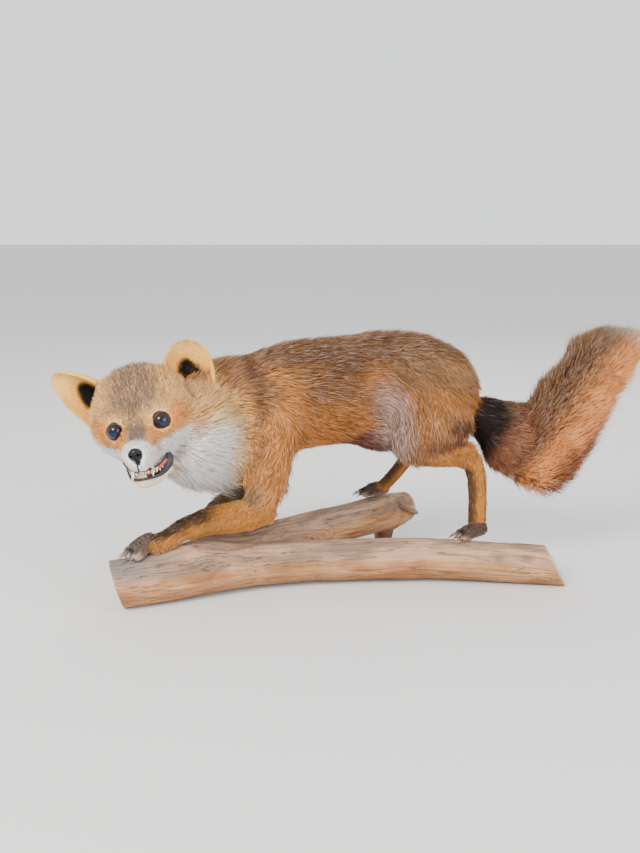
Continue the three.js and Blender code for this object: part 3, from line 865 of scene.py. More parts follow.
def markings(places, normals):
    """The colour of the coat at each point of the skin, and how grizzled it is there."""
    drift = [waves(places, 0.02, 900 + k) + 0.5 * waves(places, 0.006, 950 + k) for k in range(3)]
    drift = np.stack(drift, axis=1)
    x, y, z = (places / MM + 6 * drift).T
    h = in_head(places) + 1.5 * drift
    hx, hy, hz = h.T
    hn = normals @ HEAD_AXES

    def on(*words):
        return share_over(8, *words)

    colour = np.tile(COLOURS["flank"], (len(x), 1))
    grizzle = np.full(len(x), 0.3)

    def lay(name, share, grey=None):
        nonlocal colour, grizzle
        share = np.clip(share, 0, 1)
        colour = colour * (1 - share[:, None]) + COLOURS[name] * share[:, None]
        if grey is not None:
            grizzle = grizzle * (1 - share) + grey * share

    body = on("trunk", "neck", "upper", "thigh")
    lay("shoulder", body * ramp(-90, -170, x), 0.4)
    lay("back", body * ramp(352, 392, z), 0.7)
    lay("back", 0.75 * body * ramp(-5, -50, x) * ramp(-150, -95, x) * ramp(292, 338, z), 0.8)
    lay("haunch", body * ramp(10, 60, x) * ramp(320, 360, z) * ramp(0.9, 0.3, normals[:, 2]), 0.5)
    lay("belly", body * ramp(-80, -50, x) * ramp(62, 36, x) * ramp(284, 262, z + 0.25 * abs(x)), 0.1)
    thigh = on("thigh", "shank")
    lay("thigh", thigh * ramp(60, 110, x) * ramp(345, 285, z), 0.3)
    patch = np.hypot((x - 31 - 0.25 * (285 - z)) / 48, (z - 284) / 78)
    lay("patch", 0.95 * body * ramp(1.2, 0.5, patch) * ramp(60, 20, y), 0.45)
    # Painted shade: a dark reddish-brown band along the lower edge of the thigh, over the hock.
    lay("brush_edge", 0.7 * thigh * bell((z - 246) / 14) * ramp(75, 105, x), 0.1)
    # Painted shade in the fold between the thigh and the tail root.
    crease_shade = bell((z - 274 + 0.2 * (x - 150)) / 14) * ramp(112, 145, x)
    lay("crease_shade", 0.9 * on("thigh", "shank", "trunk") * crease_shade, 0.1)

    root = on("tail_root")
    lay("tail_low", root, 0.15)
    dark_root = ramp(262, 218, x - 0.5 * (z - 260)), ramp(198, 232, z + 0.3 * (240 - x))
    lay("tail_root", root * dark_root[0] * dark_root[1], 0.0)
    lay("tail_top", 0.9 * root * ramp(272, 292, z) * ramp(215, 235, x), 0.4)
    brush = on("tail_brush", "tail_tip")
    across = (x - 372) * 0.78 - (z - 300) * 0.62
    along = (x - 372) * 0.62 + (z - 300) * 0.78
    lay("brush_upper", brush, 0.5)
    lay("brush_lower", brush * ramp(-26, 12, across), 0.1)
    lay("brush_edge", 0.8 * brush * ramp(-50, -120, along) * ramp(5, -35, across), 0.3)
    lay("brush_edge", 0.85 * brush * ramp(34, 52, across), 0.2)
    lay("brush_tip", 0.9 * brush * ramp(95, 135, along) * ramp(30, -20, across), 0.5)

    lower = on("forearm", "shank", "metatarsus", "paw")
    lay("leg", lower, 0.1)
    lay("brush_edge", 0.3 * on("shank") * ramp(195, 225, z), 0.1)
    fore = on("forearm", *FORE_PAWS)
    shade = ramp(-0.05, 0.7, normals[:, 2] + 0.25 * drift[:, 1]) * ramp(-225, -280, x)
    lay("leg_front", 0.95 * fore * shade, 0.7)
    lay("toe", 0.45 * fore * ramp(0.0, -0.7, normals[:, 2]) * ramp(-290, -330, x), 0.1)
    hind = on("shank", "metatarsus")
    front_side = ramp(0.05, 0.6, -normals[:, 0] - 0.15 * normals[:, 1])
    lay("leg_front", 0.85 * hind * front_side * ramp(235, 195, z), 0.2)
    lay("leg_front", 0.5 * hind * ramp(0.6, 0.95, normals[:, 0]), 0.2)
    forepaw, hindpaw = on(*FORE_PAWS), on(*HIND_PAWS)
    lay("forepaw", 0.85 * forepaw, 0.9)
    lay("hindpaw", hindpaw, 0.4)
    groove, behind_claw, paw = toes(places)
    side_of_paw = ramp(0.85, 0.2, normals[:, 2])
    lay("toe", (0.9 * forepaw + 0.7 * hindpaw) * ramp(26, 12, behind_claw) * side_of_paw, 0.1)
    lay("toe", 0.5 * (forepaw + hindpaw) * ramp(0.1, -0.5, normals[:, 2]), 0.1)
    # Painted shade in the gaps between the toes.
    lay("pit", 0.9 * paw * ramp(0.08, 0.45, groove) * ramp(26, 15, behind_claw), 0.0)
    chest = on("foreleg_right_upper") + on("foreleg_right_forearm")
    # Olive-grey fur on the far chest, painted paler as painted light in the shade under the bib.
    lay("olive", 0.9 * chest * ramp(240, 200, z), 0.6)
    lay("leg_front", 0.45 * chest * ramp(180, 150, z - 0.4 * (x + 200)), 0.8)

    elbow = bell(np.hypot((x + 198) / 20, (z - 172) / 18)) * ramp(0, -30, y)
    lay("olive", 0.6 * on("foreleg_left_upper", "foreleg_left_forearm") * elbow, 1.0)

    neck = on("neck")
    front_of_neck = x + 0.12 * (z - 300) + 0.22 * y
    ruff = ramp(-212, -250, front_of_neck)
    behind_face = ramp(112, 145, lengths(h))
    lay("back", 0.7 * neck * ramp(318, 350, z) * behind_face, 0.5)
    lay("ruff", neck * ruff * ramp(352, 322, z), 0.2)
    bib = ramp(-238, -274, front_of_neck + 0.12 * np.clip(250 - z, 0, 99))
    lay("bib", neck * bib * ramp(312, 268, z), 0.1)
    lay("olive", 0.8 * neck * ramp(212, 186, z) * ramp(-305, -265, x), 0.9)
    shoulder_edge = bell((front_of_neck + 205) / 15) * ramp(205, 245, z)
    lay("back", 0.5 * body * shoulder_edge * ramp(20, -10, y), 0.6)
    # Painted shade in the fold where the ruff lies over the shoulder.
    lay("crease_shade", 0.6 * neck * bell((front_of_neck + 216) / 7) * ramp(280, 310, z), 0.3)

    head = on("head", "jaw") * (1 - on("ear"))
    lay("forehead", head, 1.0)
    lay("ruff", head * ramp(34, 66, abs(hx) + 0.25 * hz) * ramp(15, -25, hy), 0.3)
    for side in EYES:
        round_eye = np.hypot((hx - side * EYE_SPREAD) / 1.25, hz + 3)
        lay("ruff", 0.7 * head * ramp(40, 20, round_eye) * ramp(-46, -20, hy), 0.3)
        under = ramp(6, -8, hz) * ramp(-30, -18, hz)
        lay("rust", 0.5 * head * ramp(34, 20, round_eye) * under * ramp(-40, -10, hy), 0.2)
        back_of_eye = np.hypot((hx - side * 62) / 20, (hz - 4) / 17)
        lay("rust", 0.75 * head * ramp(1.25, 0.4, back_of_eye), 0.2)
    lay("bridge", head * ramp(17, 8, abs(hx)) * ramp(5, 25, hy), 0.3)
    tear = bell((abs(hx) - 24) / 7) * ramp(2, 14, hy) * ramp(46, 34, hy)
    pale = ramp(-19, -29, hz + 0.05 * hy)
    lay("white", head * pale * ramp(10, 22, abs(hx) + 0.6 * np.clip(hy - 20, 0, 99)), 0.05)
    lay("white", head * ramp(44, 58, hy), 0.05)
    lay("rust", 0.55 * head * tear * ramp(-46, -36, hz), 0.1)
    lay("jaw", on("jaw"), 0.0)
    roof = head * ramp(-0.35, -0.65, hn[:, 2]) * ramp(30, 22, abs(hx)) * ramp(-72, -66, hz)
    lay("mouth", roof * ramp(-20, 0, hy) * ramp(60, 54, hy), 0.0)
    floor = on("jaw") * ramp(0.45, 0.75, hn[:, 2]) * ramp(52, 44, hy) * ramp(-84, -78, hz)
    lay("mouth", floor, 0.0)

    for side in EAR_FEET:
        near_foot = ramp(46, 18, lengths(h - EAR_FEET[side]))
        lay("ear_foot", 0.85 * (head + neck) * near_foot * ramp(-0.1, 0.3, hn[:, 1]), 0.2)
        ear = share_over(3, f"ear_{side}")
        up, across = ear_frame(side, h)
        facing = hn @ unit(EAR_FRONT)
        lay("ear", ear, 0.0)
        lay("ear_rim", 0.6 * ear * ramp(50, 75, up), 0.0)
        lay("ear_foot", ear * ramp(12, 2, up), 0.2)
        lay("ear_back", ear * ramp(0.05, -0.35, facing), 0.3)
        lay("pit", ear * ramp(1.1, 0.75, ear_pit(side, up, across)) * ramp(-0.2, 0.2, facing), 0.0)
    return colour, grizzle


skin_places, skin_normals = places_of(skin_mesh), normals_of(skin_mesh)
skin_lie = lie_of_coat(skin_places, skin_normals)
skin_colour, skin_grizzle = markings(skin_places, skin_normals)
put_colours(skin_mesh, "coat_colour", skin_colour)


def skin_finish():
    skin = Finish("skin", Specular_IOR_Level=0.2)
    at = skin.here()
    colour = skin.attribute("coat_colour")
    fine = skin.noise(at, 900)
    coarse = skin.noise(at, 160)
    shade = skin.mix(0.5, colour, skin.mix(coarse, "8b8078", "ffffff"), "MULTIPLY")
    bump = skin.bump(fine, 0.6 * MM, 0.7)
    return skin.paint(Base_Color=shade, Roughness=0.75 + 0.2 * fine, Normal=bump)


add_piece("skin", skin_mesh, skin_finish(), FLESH)


# ---- The coat ----
# Guard hair and wool in thousands of small locks, each a thin curved blade with a closed surface.
# They grow from the skin and lie over each other from the nose to the tail. They are darker at the
# root: partly the darker underfur, and partly painted shade that gives the coat depth.

PATCH = 0.003  # size of a lock's patch on the map of the skin
LIMIT = 199000  # faces in one piece
GUARD_SHARE = 0.14  # of the locks are long thin guard hair
GUARD_DEPTH = 5 * MM  # a shorter coat has no guard hair
DARK_TIPS = 0.55  # share of dark tips where the coat is fully grizzled
PALE_TIPS = 0.3
SUNK_ROOT = 0.4 * MM  # how deep a lock starts under the skin

# Each coat, and the word that the names of the parts it grows on have in them.
COAT_PIECES = {
    "coat_head": "head",
    "coat_ears": "ear_",
    "coat_neck": "neck",
    "coat_trunk": "trunk",
    "coat_tail_root": "tail_root",
    "coat_brush": "tail_brush",
    "coat_tail_tip": "tail_tip",
    "coat_forelegs": "foreleg",
    "coat_hindlegs": "hindleg",
}

# A blade has three corners at its root, three halfway up and one at its tip.
BLADE_RINGS = (0.0, 0.5)
BLADE_UP = np.array([0, 0, 0, 0.5, 0.5, 0.5, 1])
BLADE_ACROSS = np.array([-1.0, 1, 0, -1, 1, 0, 0])
BLADE = [(0, 1, 2)]
for k, after in ((0, 1), (1, 2), (2, 0)):
    BLADE += [(k, k + 3, after), (after, k + 3, after + 3)]
BLADE = np.array(BLADE + [(3, 6, 4), (4, 6, 5), (5, 6, 3)])


def unwrapped(piece):
    """Lays the skin out flat, and returns each corner's place on that map."""
    bpy.ops.object.select_all(action="DESELECT")
    piece.select_set(True)
    bpy.context.view_layer.objects.active = piece
    piece.data.uv_layers.new(name="OFBake")
    bpy.ops.object.mode_set(mode="EDIT")
    bpy.ops.mesh.select_all(action="SELECT")
    bpy.ops.uv.smart_project(angle_limit=1.15, island_margin=0.003, scale_to_bounds=True)
    bpy.ops.object.mode_set(mode="OBJECT")
    return read(piece.data.uv_layers["OFBake"].uv, "vector", 2)


def triangles_of(mesh):
    """The points of each triangle, and its corners on the map."""
    mesh.calc_loop_triangles()
    return [read(mesh.loop_triangles, name, 3, np.int32) for name in ("vertices", "loops")]


def coat_fields():
    """Depth, length, width and number of the locks at each point, and how far they stray."""
    depth, length, width, number = (skin_near.smooth(coat_values[:, k], 12) for k in range(4))
    h = in_head(skin_places)
    hx, hy, hz = h.T
    head = over("head")
    muzzle = head * ramp(0, 40, hy)
    length *= 1 - 0.6 * muzzle
    width *= 1 - 0.2 * muzzle
    number *= 1 + 0.5 * muzzle
    cheek = head * ramp(-15, -60, hy) * ramp(25, -20, hz)
    length *= 1 + 1.1 * cheek
    depth *= 1 + 0.8 * cheek
    width *= 1 + 0.4 * cheek
    number *= 1 - 0.4 * cheek
    chest = over("foreleg_right_upper", "foreleg_right_forearm")
    throat = over("neck") * ramp(0.215, 0.19, skin_places[:, 2])
    throat *= ramp(-0.32, -0.27, skin_places[:, 0])
    shaggy = skin_near.smooth(chest * ramp(0.13, 0.16, skin_places[:, 2]) + throat, 10)
    length *= 1 + 0.8 * shaggy
    depth *= 1 + 1.6 * shaggy
    stray = 0.12 + 0.2 * share_over(8, "tail_brush", "tail_tip") + 0.15 * shaggy
    bare = np.zeros(len(hx))
    hn = skin_normals @ HEAD_AXES
    for side in EYES:
        away = from_eye(h, side)
        inside_lid = ramp(0.4, 0.15, np.sum(unit(away) * hn, axis=1))
        bare = np.maximum(bare, ramp(EYE_RADIUS + 6, EYE_RADIUS + 4, lengths(away)) * inside_lid)
        length *= 1 - 0.6 * head * ramp(31, 18, lengths(away))
        depth *= 1 - 0.6 * head * ramp(31, 18, lengths(away))
    from_nose = lengths(skin_places - np.array(middle("nose"))) / MM
    bare = np.maximum(bare, ramp(14, 11, from_nose))
    bare = np.maximum(bare, head * ramp(3.2, 2.0, abs(hx - 2)) * ramp(-30, -36, hz) * (hy > 50))
    from_bend = skin_places - TAIL_BEND
    near_bend = over("tail_root") * ramp(0.02, -0.03, from_bend @ TAIL_WAY)
    length *= 1 - 0.45 * near_bend * ramp(0, 0.03, from_bend[:, 0])
    roof = head * ramp(-0.3, -0.6, hn[:, 2]) * ramp(32, 26, abs(hx)) * ramp(-25, -10, hy)
    bare = np.maximum(bare, roof)
    number *= 1 - bare
    for side in EAR_FEET:
        up, across = ear_frame(side, h)
        inner = over(f"ear_{side}") * ramp(0.05, 0.3, hn @ unit(EAR_FRONT))
        pit = inner * ramp(1.15, 0.7, ear_pit(side, up, across))
        number *= 1 - inner * (0.3 - 0.3 * pit)
        length *= 1 + 1.2 * pit
        depth += 2.5 * pit
    return depth, length, width, number, stray


def grow(name, word, seed):
    """The locks on some parts of the body, as one mesh of thin closed blades."""
    chance = np.random.default_rng(seed)
    mine = over(word)[corner_of]
    faces = np.flatnonzero(mine.sum(axis=1) >= 2)
    share = tuft_number[corner_of[faces]].mean(axis=1) * areas[faces] * 1e4
    count = min(int(share.sum()), LIMIT // len(BLADE))
    chosen = faces[chance.choice(len(faces), count, p=share / share.sum())]
    a, b = chance.random((2, count))
    beyond = a + b > 1
    a[beyond], b[beyond] = 1 - a[beyond], 1 - b[beyond]
    weights = np.stack([1 - a - b, a, b], axis=1)[:, :, None]

    def at_root(values):
        values = values if values.ndim > 1 else values[:, None]
        return (values[corner_of[chosen]] * weights).sum(axis=1)

    root, normal, lie = at_root(skin_places), unit(at_root(skin_normals)), at_root(skin_lie)
    depth, length, width = (at_root(v)[:, 0] * MM for v in (tuft_depth, tuft_length, tuft_width))
    colour, grizzle = at_root(skin_colour), at_root(skin_grizzle)[:, 0]
    patch = (skin_map[loops_of[chosen]] * weights).sum(axis=1)

    length = length * chance.uniform(0.7, 1.2, count)
    width = width * chance.uniform(0.7, 1.3, count)
    height = depth * chance.uniform(0.55, 1.1, count) * (1 + 0.25 * waves(root, 0.02, seed + 1))
    guard = (chance.random(count) < GUARD_SHARE) & (depth > GUARD_DEPTH)
    length = np.where(guard, 1.35 * length, length)
    height = np.where(guard, 1.25 * height, height)
    width = np.where(guard, 0.5 * width, width)
    turn = 0.22 * waves(root, 0.03, seed + 2) + 0.16 * waves(root, 0.008, seed + 3)
    turn = turn + chance.normal(0, 1, count) * at_root(tuft_stray)[:, 0]
    side = np.cross(lie, normal)
    lie = unit(lie * np.cos(turn)[:, None] + side * np.sin(turn)[:, None])
    side = unit(np.cross(lie, normal))

    blade = []
    for t in BLADE_RINGS:
        rise = 1 - (1 - t) ** 2
        wide = width * (0.8 + 0.4 * t - 0.4 * t * t)
        spine = root + lie * (length * t)[:, None] + normal * (height * rise - SUNK_ROOT)[:, None]
        blade.append(spine - side * (wide / 2)[:, None])
        blade.append(spine + side * (wide / 2)[:, None])
        blade.append(spine + normal * (0.45 * wide)[:, None])
    blade.append(root + lie * length[:, None] + normal * height[:, None])
    places = np.stack(blade, axis=1)
    points = len(BLADE_UP)

    lock = waves(root / (2.4 * at_root(tuft_width) * MM), 1.0, seed + 5)
    tint = 1 + 0.12 * waves(root, 0.012, seed + 4) + 0.09 * lock
    tint = tint + chance.normal(0, 1, count) * (0.05 + 0.1 * grizzle)
    pick = np.clip(chance.random(count) + 0.25 * lock, 0, 1)
    dark_tip = (pick < DARK_TIPS * grizzle)[:, None, None]
    pale_tip = (pick > 1 - PALE_TIPS * grizzle)[:, None, None]
    fade = BLADE_UP[None, :, None]
    # Each lock is painted darker towards its root: darker underfur and painted shade deep in the coat;
    # pale hair gets less of it.
    at_the_root = 0.78 + 0.2 * ramp(0.55, 0.9, colour.min(axis=1))  # white hair is pale to the root
    shade = colour[:, None, :] * tint[:, None, None] * (at_the_root[:, None, None] + 0.4 * fade)
    shade = np.where(dark_tip, shade * (1 - 0.62 * fade), shade)
    shade = np.where(pale_tip, shade + (0.8 - shade) * 0.3 * fade, shade)

    mesh = bpy.data.meshes.new(name)
    mesh.vertices.add(count * points)
    mesh.vertices.foreach_set("co", places.astype(np.float32).ravel())
    corners = (BLADE[None] + points * np.arange(count)[:, None, None]).reshape(-1, 3)
    mesh.loops.add(corners.size)
    mesh.loops.foreach_set("vertex_index", corners.ravel().astype(np.int32))
    mesh.polygons.add(len(corners))
    mesh.polygons.foreach_set("loop_start", np.arange(0, corners.size, 3, dtype=np.int32))
    mesh.update(calc_edges=True)
    mesh.shade_smooth()
    put_colours(mesh, "coat_colour", np.clip(shade.reshape(-1, 3), 0, 1))
    strand = [np.tile(BLADE_UP, count), np.tile(BLADE_ACROSS, count), np.repeat(pick, points)]
    put_vectors(mesh, "strand", np.stack(strand, axis=1))
    spots = patch[:, None, :] + PATCH * np.stack([BLADE_ACROSS / 2, BLADE_UP - 0.5], axis=1)[None]
    layer = mesh.uv_layers.new(name="OFBake")
    layer.uv.foreach_set("vector", spots.reshape(-1, 2)[corners.ravel()].astype(np.float32).ravel())
    return mesh


def coat_finish():
    coat = Finish("coat", Specular_IOR_Level=0.15, Sheen_Weight=0.05, Sheen_Roughness=0.4)
    colour = coat.attribute("coat_colour")
    strand = coat.attribute("strand", 1)
    hairs = coat.noise(coat.stretched(strand, (1.2, 5, 40)), 1.0, 2.0)
    colour = coat.mix(1.0, colour, coat.mix(hairs, "cbc2ba", "ffffff"), "MULTIPLY")
    bump = coat.bump(hairs, 0.2 * MM, 0.5)
    return coat.paint(Base_Color=colour, Roughness=0.55 + 0.25 * hairs, Normal=bump)


skin_map = unwrapped(bpy.data.objects["skin"])
corner_of, loops_of = triangles_of(skin_mesh)
tuft_depth, tuft_length, tuft_width, tuft_number, tuft_stray = coat_fields()
sides_of_face = [skin_places[corner_of[:, k]] - skin_places[corner_of[:, 0]] for k in (1, 2)]
areas = lengths(np.cross(*sides_of_face)) / 2
fur = coat_finish()
for number, (piece_name, word) in enumerate(COAT_PIECES.items()):
    add_piece(piece_name, grow(piece_name, word, 100 * number + 7), fur)


# ---- The eyes ----
# Glass eyes of a dark kind, with a brown ring round a wide pupil, set in the sockets with a thin
# dark rim of lid round each. A bluish reflection of the sky is painted on the lower half of each
# glass, and the brown ring is painted stronger towards the top as a brown reflection.

LID_SIDES = 56
LID_REACH = math.radians(46)
# Round the section of a lid: how far out along it, and how high over the glass in millimetres.
LID_PROFILE = [(0.03, -0.9), (-0.015, 0.1), (0.0, 0.75), (0.05, 0.9), (0.12, 0.75), (0.3, 0.6), (1.0, 0.8)]


def eyeball_mesh(side):
    ball = bmesh.new()
    bmesh.ops.create_uvsphere(ball, u_segments=48, v_segments=28, radius=1)
    across, up, out = eye_axes(side)
    local = np.array([v.co for v in ball.verts])
    axes = Matrix((across, up, out)).transposed()
    centre = middle(f"eye_{EYES[side]}")
    for corner in ball.verts:
        bulge = 1 + 0.03 * ramp(0.6, 0.95, corner.co.z)
        corner.co = centre + axes @ corner.co * (EYE_RADIUS * MM * 0.985 * bulge)
    mesh = mesh_of("eye", ball)
    mesh.shade_smooth()
    put_vectors(mesh, "on_eye", local)
    return mesh


def eye_finish():
    eye = Finish("glass_eye", Coat_Roughness=0.02, IOR=1.42, Specular_IOR_Level=0.3)
    spot = eye.attribute("on_eye", 1)
    parts = [eye.node("SeparateXYZ", None, k, Vector=spot) for k in range(2)]
    flat = eye.node("CombineXYZ", None, 0, X=parts[0], Y=parts[1])
    radius = eye.node("VectorMath", {"operation": "LENGTH"}, 1, _0=flat)
    streaks = eye.noise(eye.node("VectorMath", {"operation": "NORMALIZE"}, 0, _0=flat), 9)
    iris = eye.mix(streaks, "120906", "341c11")
    ring = eye.ramp(radius, 0.3, 0.42) * eye.ramp(radius, 0.86, 0.72)
    # Painted reflection of the sky: the dark glass turns bluish towards the lower half.
    glass_and_sky_reflection = eye.mix(eye.ramp(parts[1], 0.35, -0.4), "030306", "101a3a")
    # The brown ring is the iris, painted stronger towards the top as a painted brown reflection.
    colour = eye.mix(ring * (0.15 + 0.5 * eye.ramp(parts[1], -0.2, 0.6)), glass_and_sky_reflection, iris)
    return eye.paint(Base_Color=colour, Roughness=0.1 + 0.1 * streaks, Coat_Weight=0.3 + 0.1 * ring)


def rope(name, lines, sides):
    """Round bars of changing thickness, in millimetres in the head's frame, as one mesh."""
    curve = bpy.data.curves.new(name, "CURVE")
    curve.dimensions = "3D"
    curve.bevel_depth = MM
    curve.bevel_resolution = sides
    curve.resolution_u = 5
    curve.use_fill_caps = True
    for points, radii in lines:
        spline = curve.splines.new("NURBS")
        spline.points.add(len(points) - 1)
        for knot, place, radius in zip(spline.points, from_head(points), radii):
            knot.co = (*place, 1)
            knot.radius = radius
        spline.order_u = 3
        spline.use_endpoint_u = True
    mesh = settled(name, curve, [])
    bpy.data.curves.remove(curve)
    mesh.shade_smooth()
    return mesh


def lids_mesh():
    """Both pairs of lids: a rolled edge close to the glass, and a thin shell that runs under the fur."""
    lids = bmesh.new()
    for side in EYES:
        across, up, out = eye_axes(side)
        centre = middle(f"eye_{EYES[side]}")
        hoops = []
        for share, lift in LID_PROFILE:
            hoop = []
            for k in range(LID_SIDES):
                angle = math.tau * k / LID_SIDES
                tilt = eye_edge(side, angle) + LID_REACH * share
                way = across * math.cos(angle) + up * math.sin(angle)
                way = out * math.cos(tilt) + way * math.sin(tilt)
                hoop.append(centre + way * (EYE_RADIUS + lift) * MM)
            hoops.append(hoop)
        hooped(lids, hoops, closed=True)
    mesh = mesh_of("eyelids", lids)
    mesh.shade_smooth()
    return mesh


def moist(name, scale, dyes, rough, relief, gloss=0.0, detail=3.0, **constants):
    """Leather or wax whose colour, shine and relief wander together."""
    finish = Finish(name, **constants)
    grain = finish.noise(finish.here(), scale, detail)
    colour = finish.mix(grain, *dyes)
    sockets = {"Coat_Weight": gloss * grain} if gloss else {}
    bump = finish.bump(grain, relief * MM)
    return finish.paint(Base_Color=colour, Roughness=rough + 0.2 * grain, Normal=bump, **sockets)


lid_leather = moist("lid", 700, ("0c0909", "46342e"), 0.4, 0.3, Specular_IOR_Level=0.5)
glass = eye_finish()
for side, word in EYES.items():
    add_piece(f"glass_eye_{word}", eyeball_mesh(side), glass, [f"eye_{word}"])
add_piece("eyelids", lids_mesh(), lid_leather)


# ---- The nose ----
# The bare pad of the nose, modelled in wax over the dried skin and painted: pebbled and glossy,
# with a comma-shaped nostril at each side and a groove down to the lip.

# The middles and radii of the two balls that the pad is made from, in the frame of the head.
NOSE_PARTS = (((0, 67.5, -23), (10.6, 7.6, 9.6)), ((0, 67, -33), (3.4, 5.8, 8.5)))
NOSE_VOXEL = 0.55


def nose_mesh():
    pad = bmesh.new()
    for centre, radii in NOSE_PARTS:
        place = Matrix.Translation(Vector(centre)) @ Matrix.Diagonal((*radii, 1))
        bmesh.ops.create_uvsphere(pad, u_segments=32, v_segments=20, radius=1, matrix=place)
    remesh = ("REMESH", {"mode": "VOXEL", "voxel_size": NOSE_VOXEL})
    mesh = settled("nose", mesh_of("nose", pad), [remesh, ("SMOOTH", {"iterations": 4})])
    places = places_of(mesh)
    x, y, z = places.T
    front = ramp(66, 71, y)
    inner = np.hypot((abs(x) - 5.2) / 2.7, (z + 23.5) / 2.6)
    slit = np.hypot((abs(x) - 8.3) / 2.4, (z + 26 - 0.8 * (9 - abs(x))) / 1.5)
    sunk = 3.4 * ramp(1.15, 0.45, np.minimum(inner, slit)) * front
    sunk += 1.1 * ramp(1.0, 0.2, abs(x)) * ramp(-20, -25, z) * front
    places[:, 1] -= sunk
    places[:, 0] *= 1 - 0.08 * ramp(-21, -14, z)
    put_places(mesh, from_head(places))
    mesh.shade_smooth()
    put_colours(mesh, "sunk", np.stack([sunk / 4] * 3, axis=1))
    return mesh


def nose_finish():
    nose = Finish("nose", Coat_Roughness=0.2, Specular_IOR_Level=0.2)
    at = nose.here()
    pebbles = nose.node("TexVoronoi", {"feature": "F1"}, 0, Vector=at, Scale=480.0)
    fine = nose.noise(at, 1500, 2.0)
    sunk = nose.attribute("sunk", 2)
    # Painted sheen and shade: the tops of the pebbles are a little paler and bluish, the gaps between them
    # darker.
    colour = nose.mix(pebbles, "101116", "030304")
    # Painted shade in the nostrils and in the groove below the nose.
    colour = nose.mix(nose.ramp(sunk, 0.2, 0.7), colour, "060506")
    bump, gloss = nose.bump(1 - pebbles + 0.3 * fine, 1.4 * MM), 0.22 - 0.2 * sunk
    return nose.paint(Base_Color=colour, Roughness=0.3 + 0.25 * fine, Coat_Weight=gloss, Normal=bump)


add_piece("nose_pad", nose_mesh(), nose_finish(), ["nose"])


# ---- The mouth ----
# Lips of black leather that roll out at the corners of the mouth, gums of painted wax, and the
# animal's own teeth set in them. The tongue lies flat behind the lower teeth.

# Lines in the frame of the head, in millimetres, and the radius of each lip along its line.
LIP_LINE = [
    (-36, 12, -50), (-35, 15, -55), (-32.5, 19, -61), (-26.5, 24, -67.5), (-19, 29, -72), (-13, 34, -73.5),
    (-8, 40, -72.5), (-1, 46, -71), (6, 51.5, -69), (12, 54, -67.5), (17, 54, -66), (22, 47, -66),
    (27, 37, -67), (31, 25, -65), (35, 12, -59),
]
LIP_RADII = [4.2, 7.0, 8.0, 7.2, 5.4, 3.6, 2.8, 2.4, 2.3, 2.3, 2.2, 2.0, 1.8, 1.6, 1.5]
UPPER_LIP = [
    (-37, 12, -49), (-30, 30, -52), (-22.5, 42, -55.5), (-14, 52, -56.5), (-3, 61, -54), (0, 63, -51.5),
    (3, 62, -52), (11, 57, -54), (19, 47, -54), (26, 36, -53), (32, 25, -51), (37, 13, -48),
]
UPPER_LIP_RADII = [1.5, 1.2, 1.1, 1.0, 1.1, 1.4, 1.1, 1.0, 1.0, 1.1, 1.2, 1.5]
PHILTRUM = [(1, 69, -36), (2, 68.5, -43), (3, 66.5, -52)]
GUM = [
    (-30, 22, -56), (-25, 31, -58), (-19, 41, -60), (-12, 49, -60), (-3, 55, -58), (4, 57, -57),
    (12, 52, -57), (18, 43, -58), (24, 32, -57), (30, 18, -55),
]
LOWER_GUM = [
    (-19, 22, -73), (-12, 31, -74), (-4, 39, -72), (6, 46, -68), (16, 48, -68), (24, 38, -69),
    (30, 20, -69),
]


def tooth(root, bend, tip, thick):
    return [root, bend, tip], [thick, 0.8 * thick, 0.12 * thick]


def teeth_mesh():
    lines = [tooth((15, 54, -53), (17.5, 58, -59), (18, 57, -66), 2.6)]
    lines.append(tooth((-14, 50, -56), (-13, 53, -62), (-12, 51.5, -68), 2.5))
    for side in (-1, 1):
        for k in range(4):
            x, y = side * (18 + 3.2 * k), 44.5 - 7.6 * k
            lines.append(tooth((x, y, -57), (x, y + 1.5, -61), (x, y + 1.5, -64.5 - 1.5 * (k % 2)), 2.7))
    for k in range(6):
        x = -7.5 + 3.6 * k
        drop = 0.3 * abs(x - 2)
        lines.append(tooth((x, 57 - drop, -55), (x, 60 - drop, -57), (x, 60 - drop, -60.5), 1.8))
    for x, y in ((1, 44), (20, 47)):
        lines.append(tooth((x, y, -70), (x, y + 4.5, -66), (x, y + 5, -60), 2.2))
    for k in range(5):
        x = 4.5 + 3.1 * k
        lines.append(tooth((x, 49, -71), (x, 51, -68), (x, 51, -66), 1.5))
    return rope("teeth", lines, sides=3)


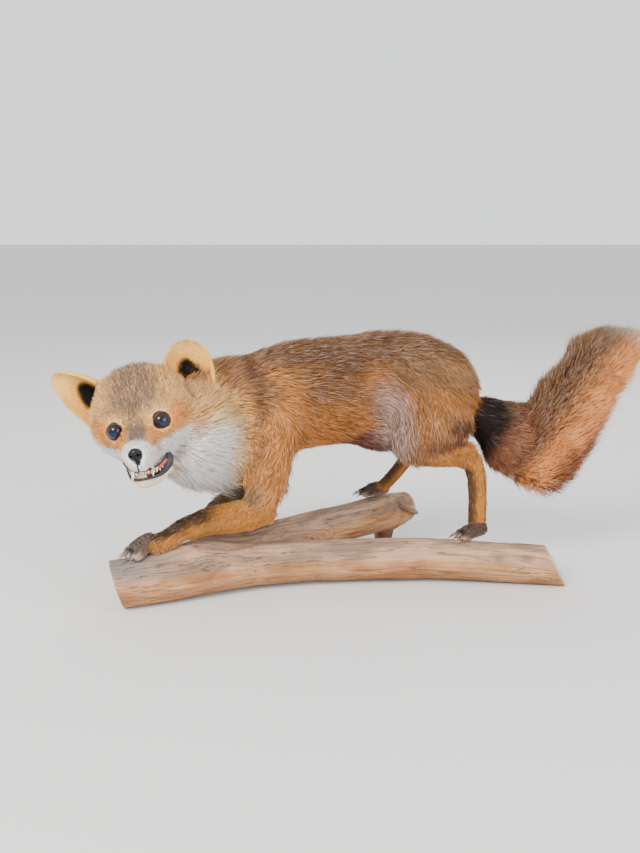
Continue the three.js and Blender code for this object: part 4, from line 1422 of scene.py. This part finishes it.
def wax(name, deep, pale):
    constants = {"Coat_Roughness": 0.15, "Subsurface_Weight": 0.1, "Subsurface_Scale": 0.002}
    return moist(name, 180, (deep, pale), 0.3, 0.5, gloss=0.5, **constants)


def tooth_finish():
    tooth = Finish("tooth", Specular_IOR_Level=0.6, Coat_Roughness=0.1)
    stain = tooth.noise(tooth.here(), 260)
    colour = tooth.mix(tooth.ramp(stain, 0.45, 0.75), "f1ead9", "cdb994")
    return tooth.paint(Base_Color=colour, Roughness=0.25 + 0.2 * stain)


lip_lines = [(LIP_LINE, LIP_RADII), (UPPER_LIP, UPPER_LIP_RADII), (PHILTRUM, [1.3, 1.3, 1.4])]
gum_lines = [(GUM, [3.6] * len(GUM)), (LOWER_GUM, [3.0] * len(LOWER_GUM))]
lip_dyes = ("080709", "322e34")
lip_leather = moist("lip", 420, lip_dyes, 0.35, 0.9, gloss=0.2, detail=4.0, Coat_Roughness=0.25)
add_piece("lips", rope("lips", lip_lines, sides=4), lip_leather)
add_piece("gums", rope("gums", gum_lines, sides=4), wax("gum", "963a30", "d86f58"))
add_piece("teeth", teeth_mesh(), tooth_finish())
tongue_mesh = rounded("tongue", mesh_of("tongue", solids("tongue")), 2)
add_piece("tongue_wax", tongue_mesh, wax("tongue", "8e3433", "c76a62"), ["tongue"])


# ---- The claws ----
# The animal's own claws of worn dark horn, left in the toes of the skin. Each paw has four, and
# each foreleg has a dewclaw further up.

def horn_finish():
    horn = Finish("claw_horn", Specular_IOR_Level=0.5)
    layers = horn.noise(horn.stretched(horn.here(), (300, 300, 900)), 1.0)
    colour = horn.mix(horn.ramp(layers, 0.35, 0.7), "2f241d", "a08c76")
    return horn.paint(Base_Color=colour, Roughness=0.3 + 0.25 * layers, Normal=horn.bump(layers, 0.2 * MM))


horn = horn_finish()
for leg in LEGS:
    claws = sorted(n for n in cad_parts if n.startswith(leg) and "claw" in n)
    add_piece(f"claws_{leg}", rounded("claws", mesh_of("claws", solids(*claws)), 2), horn, claws)
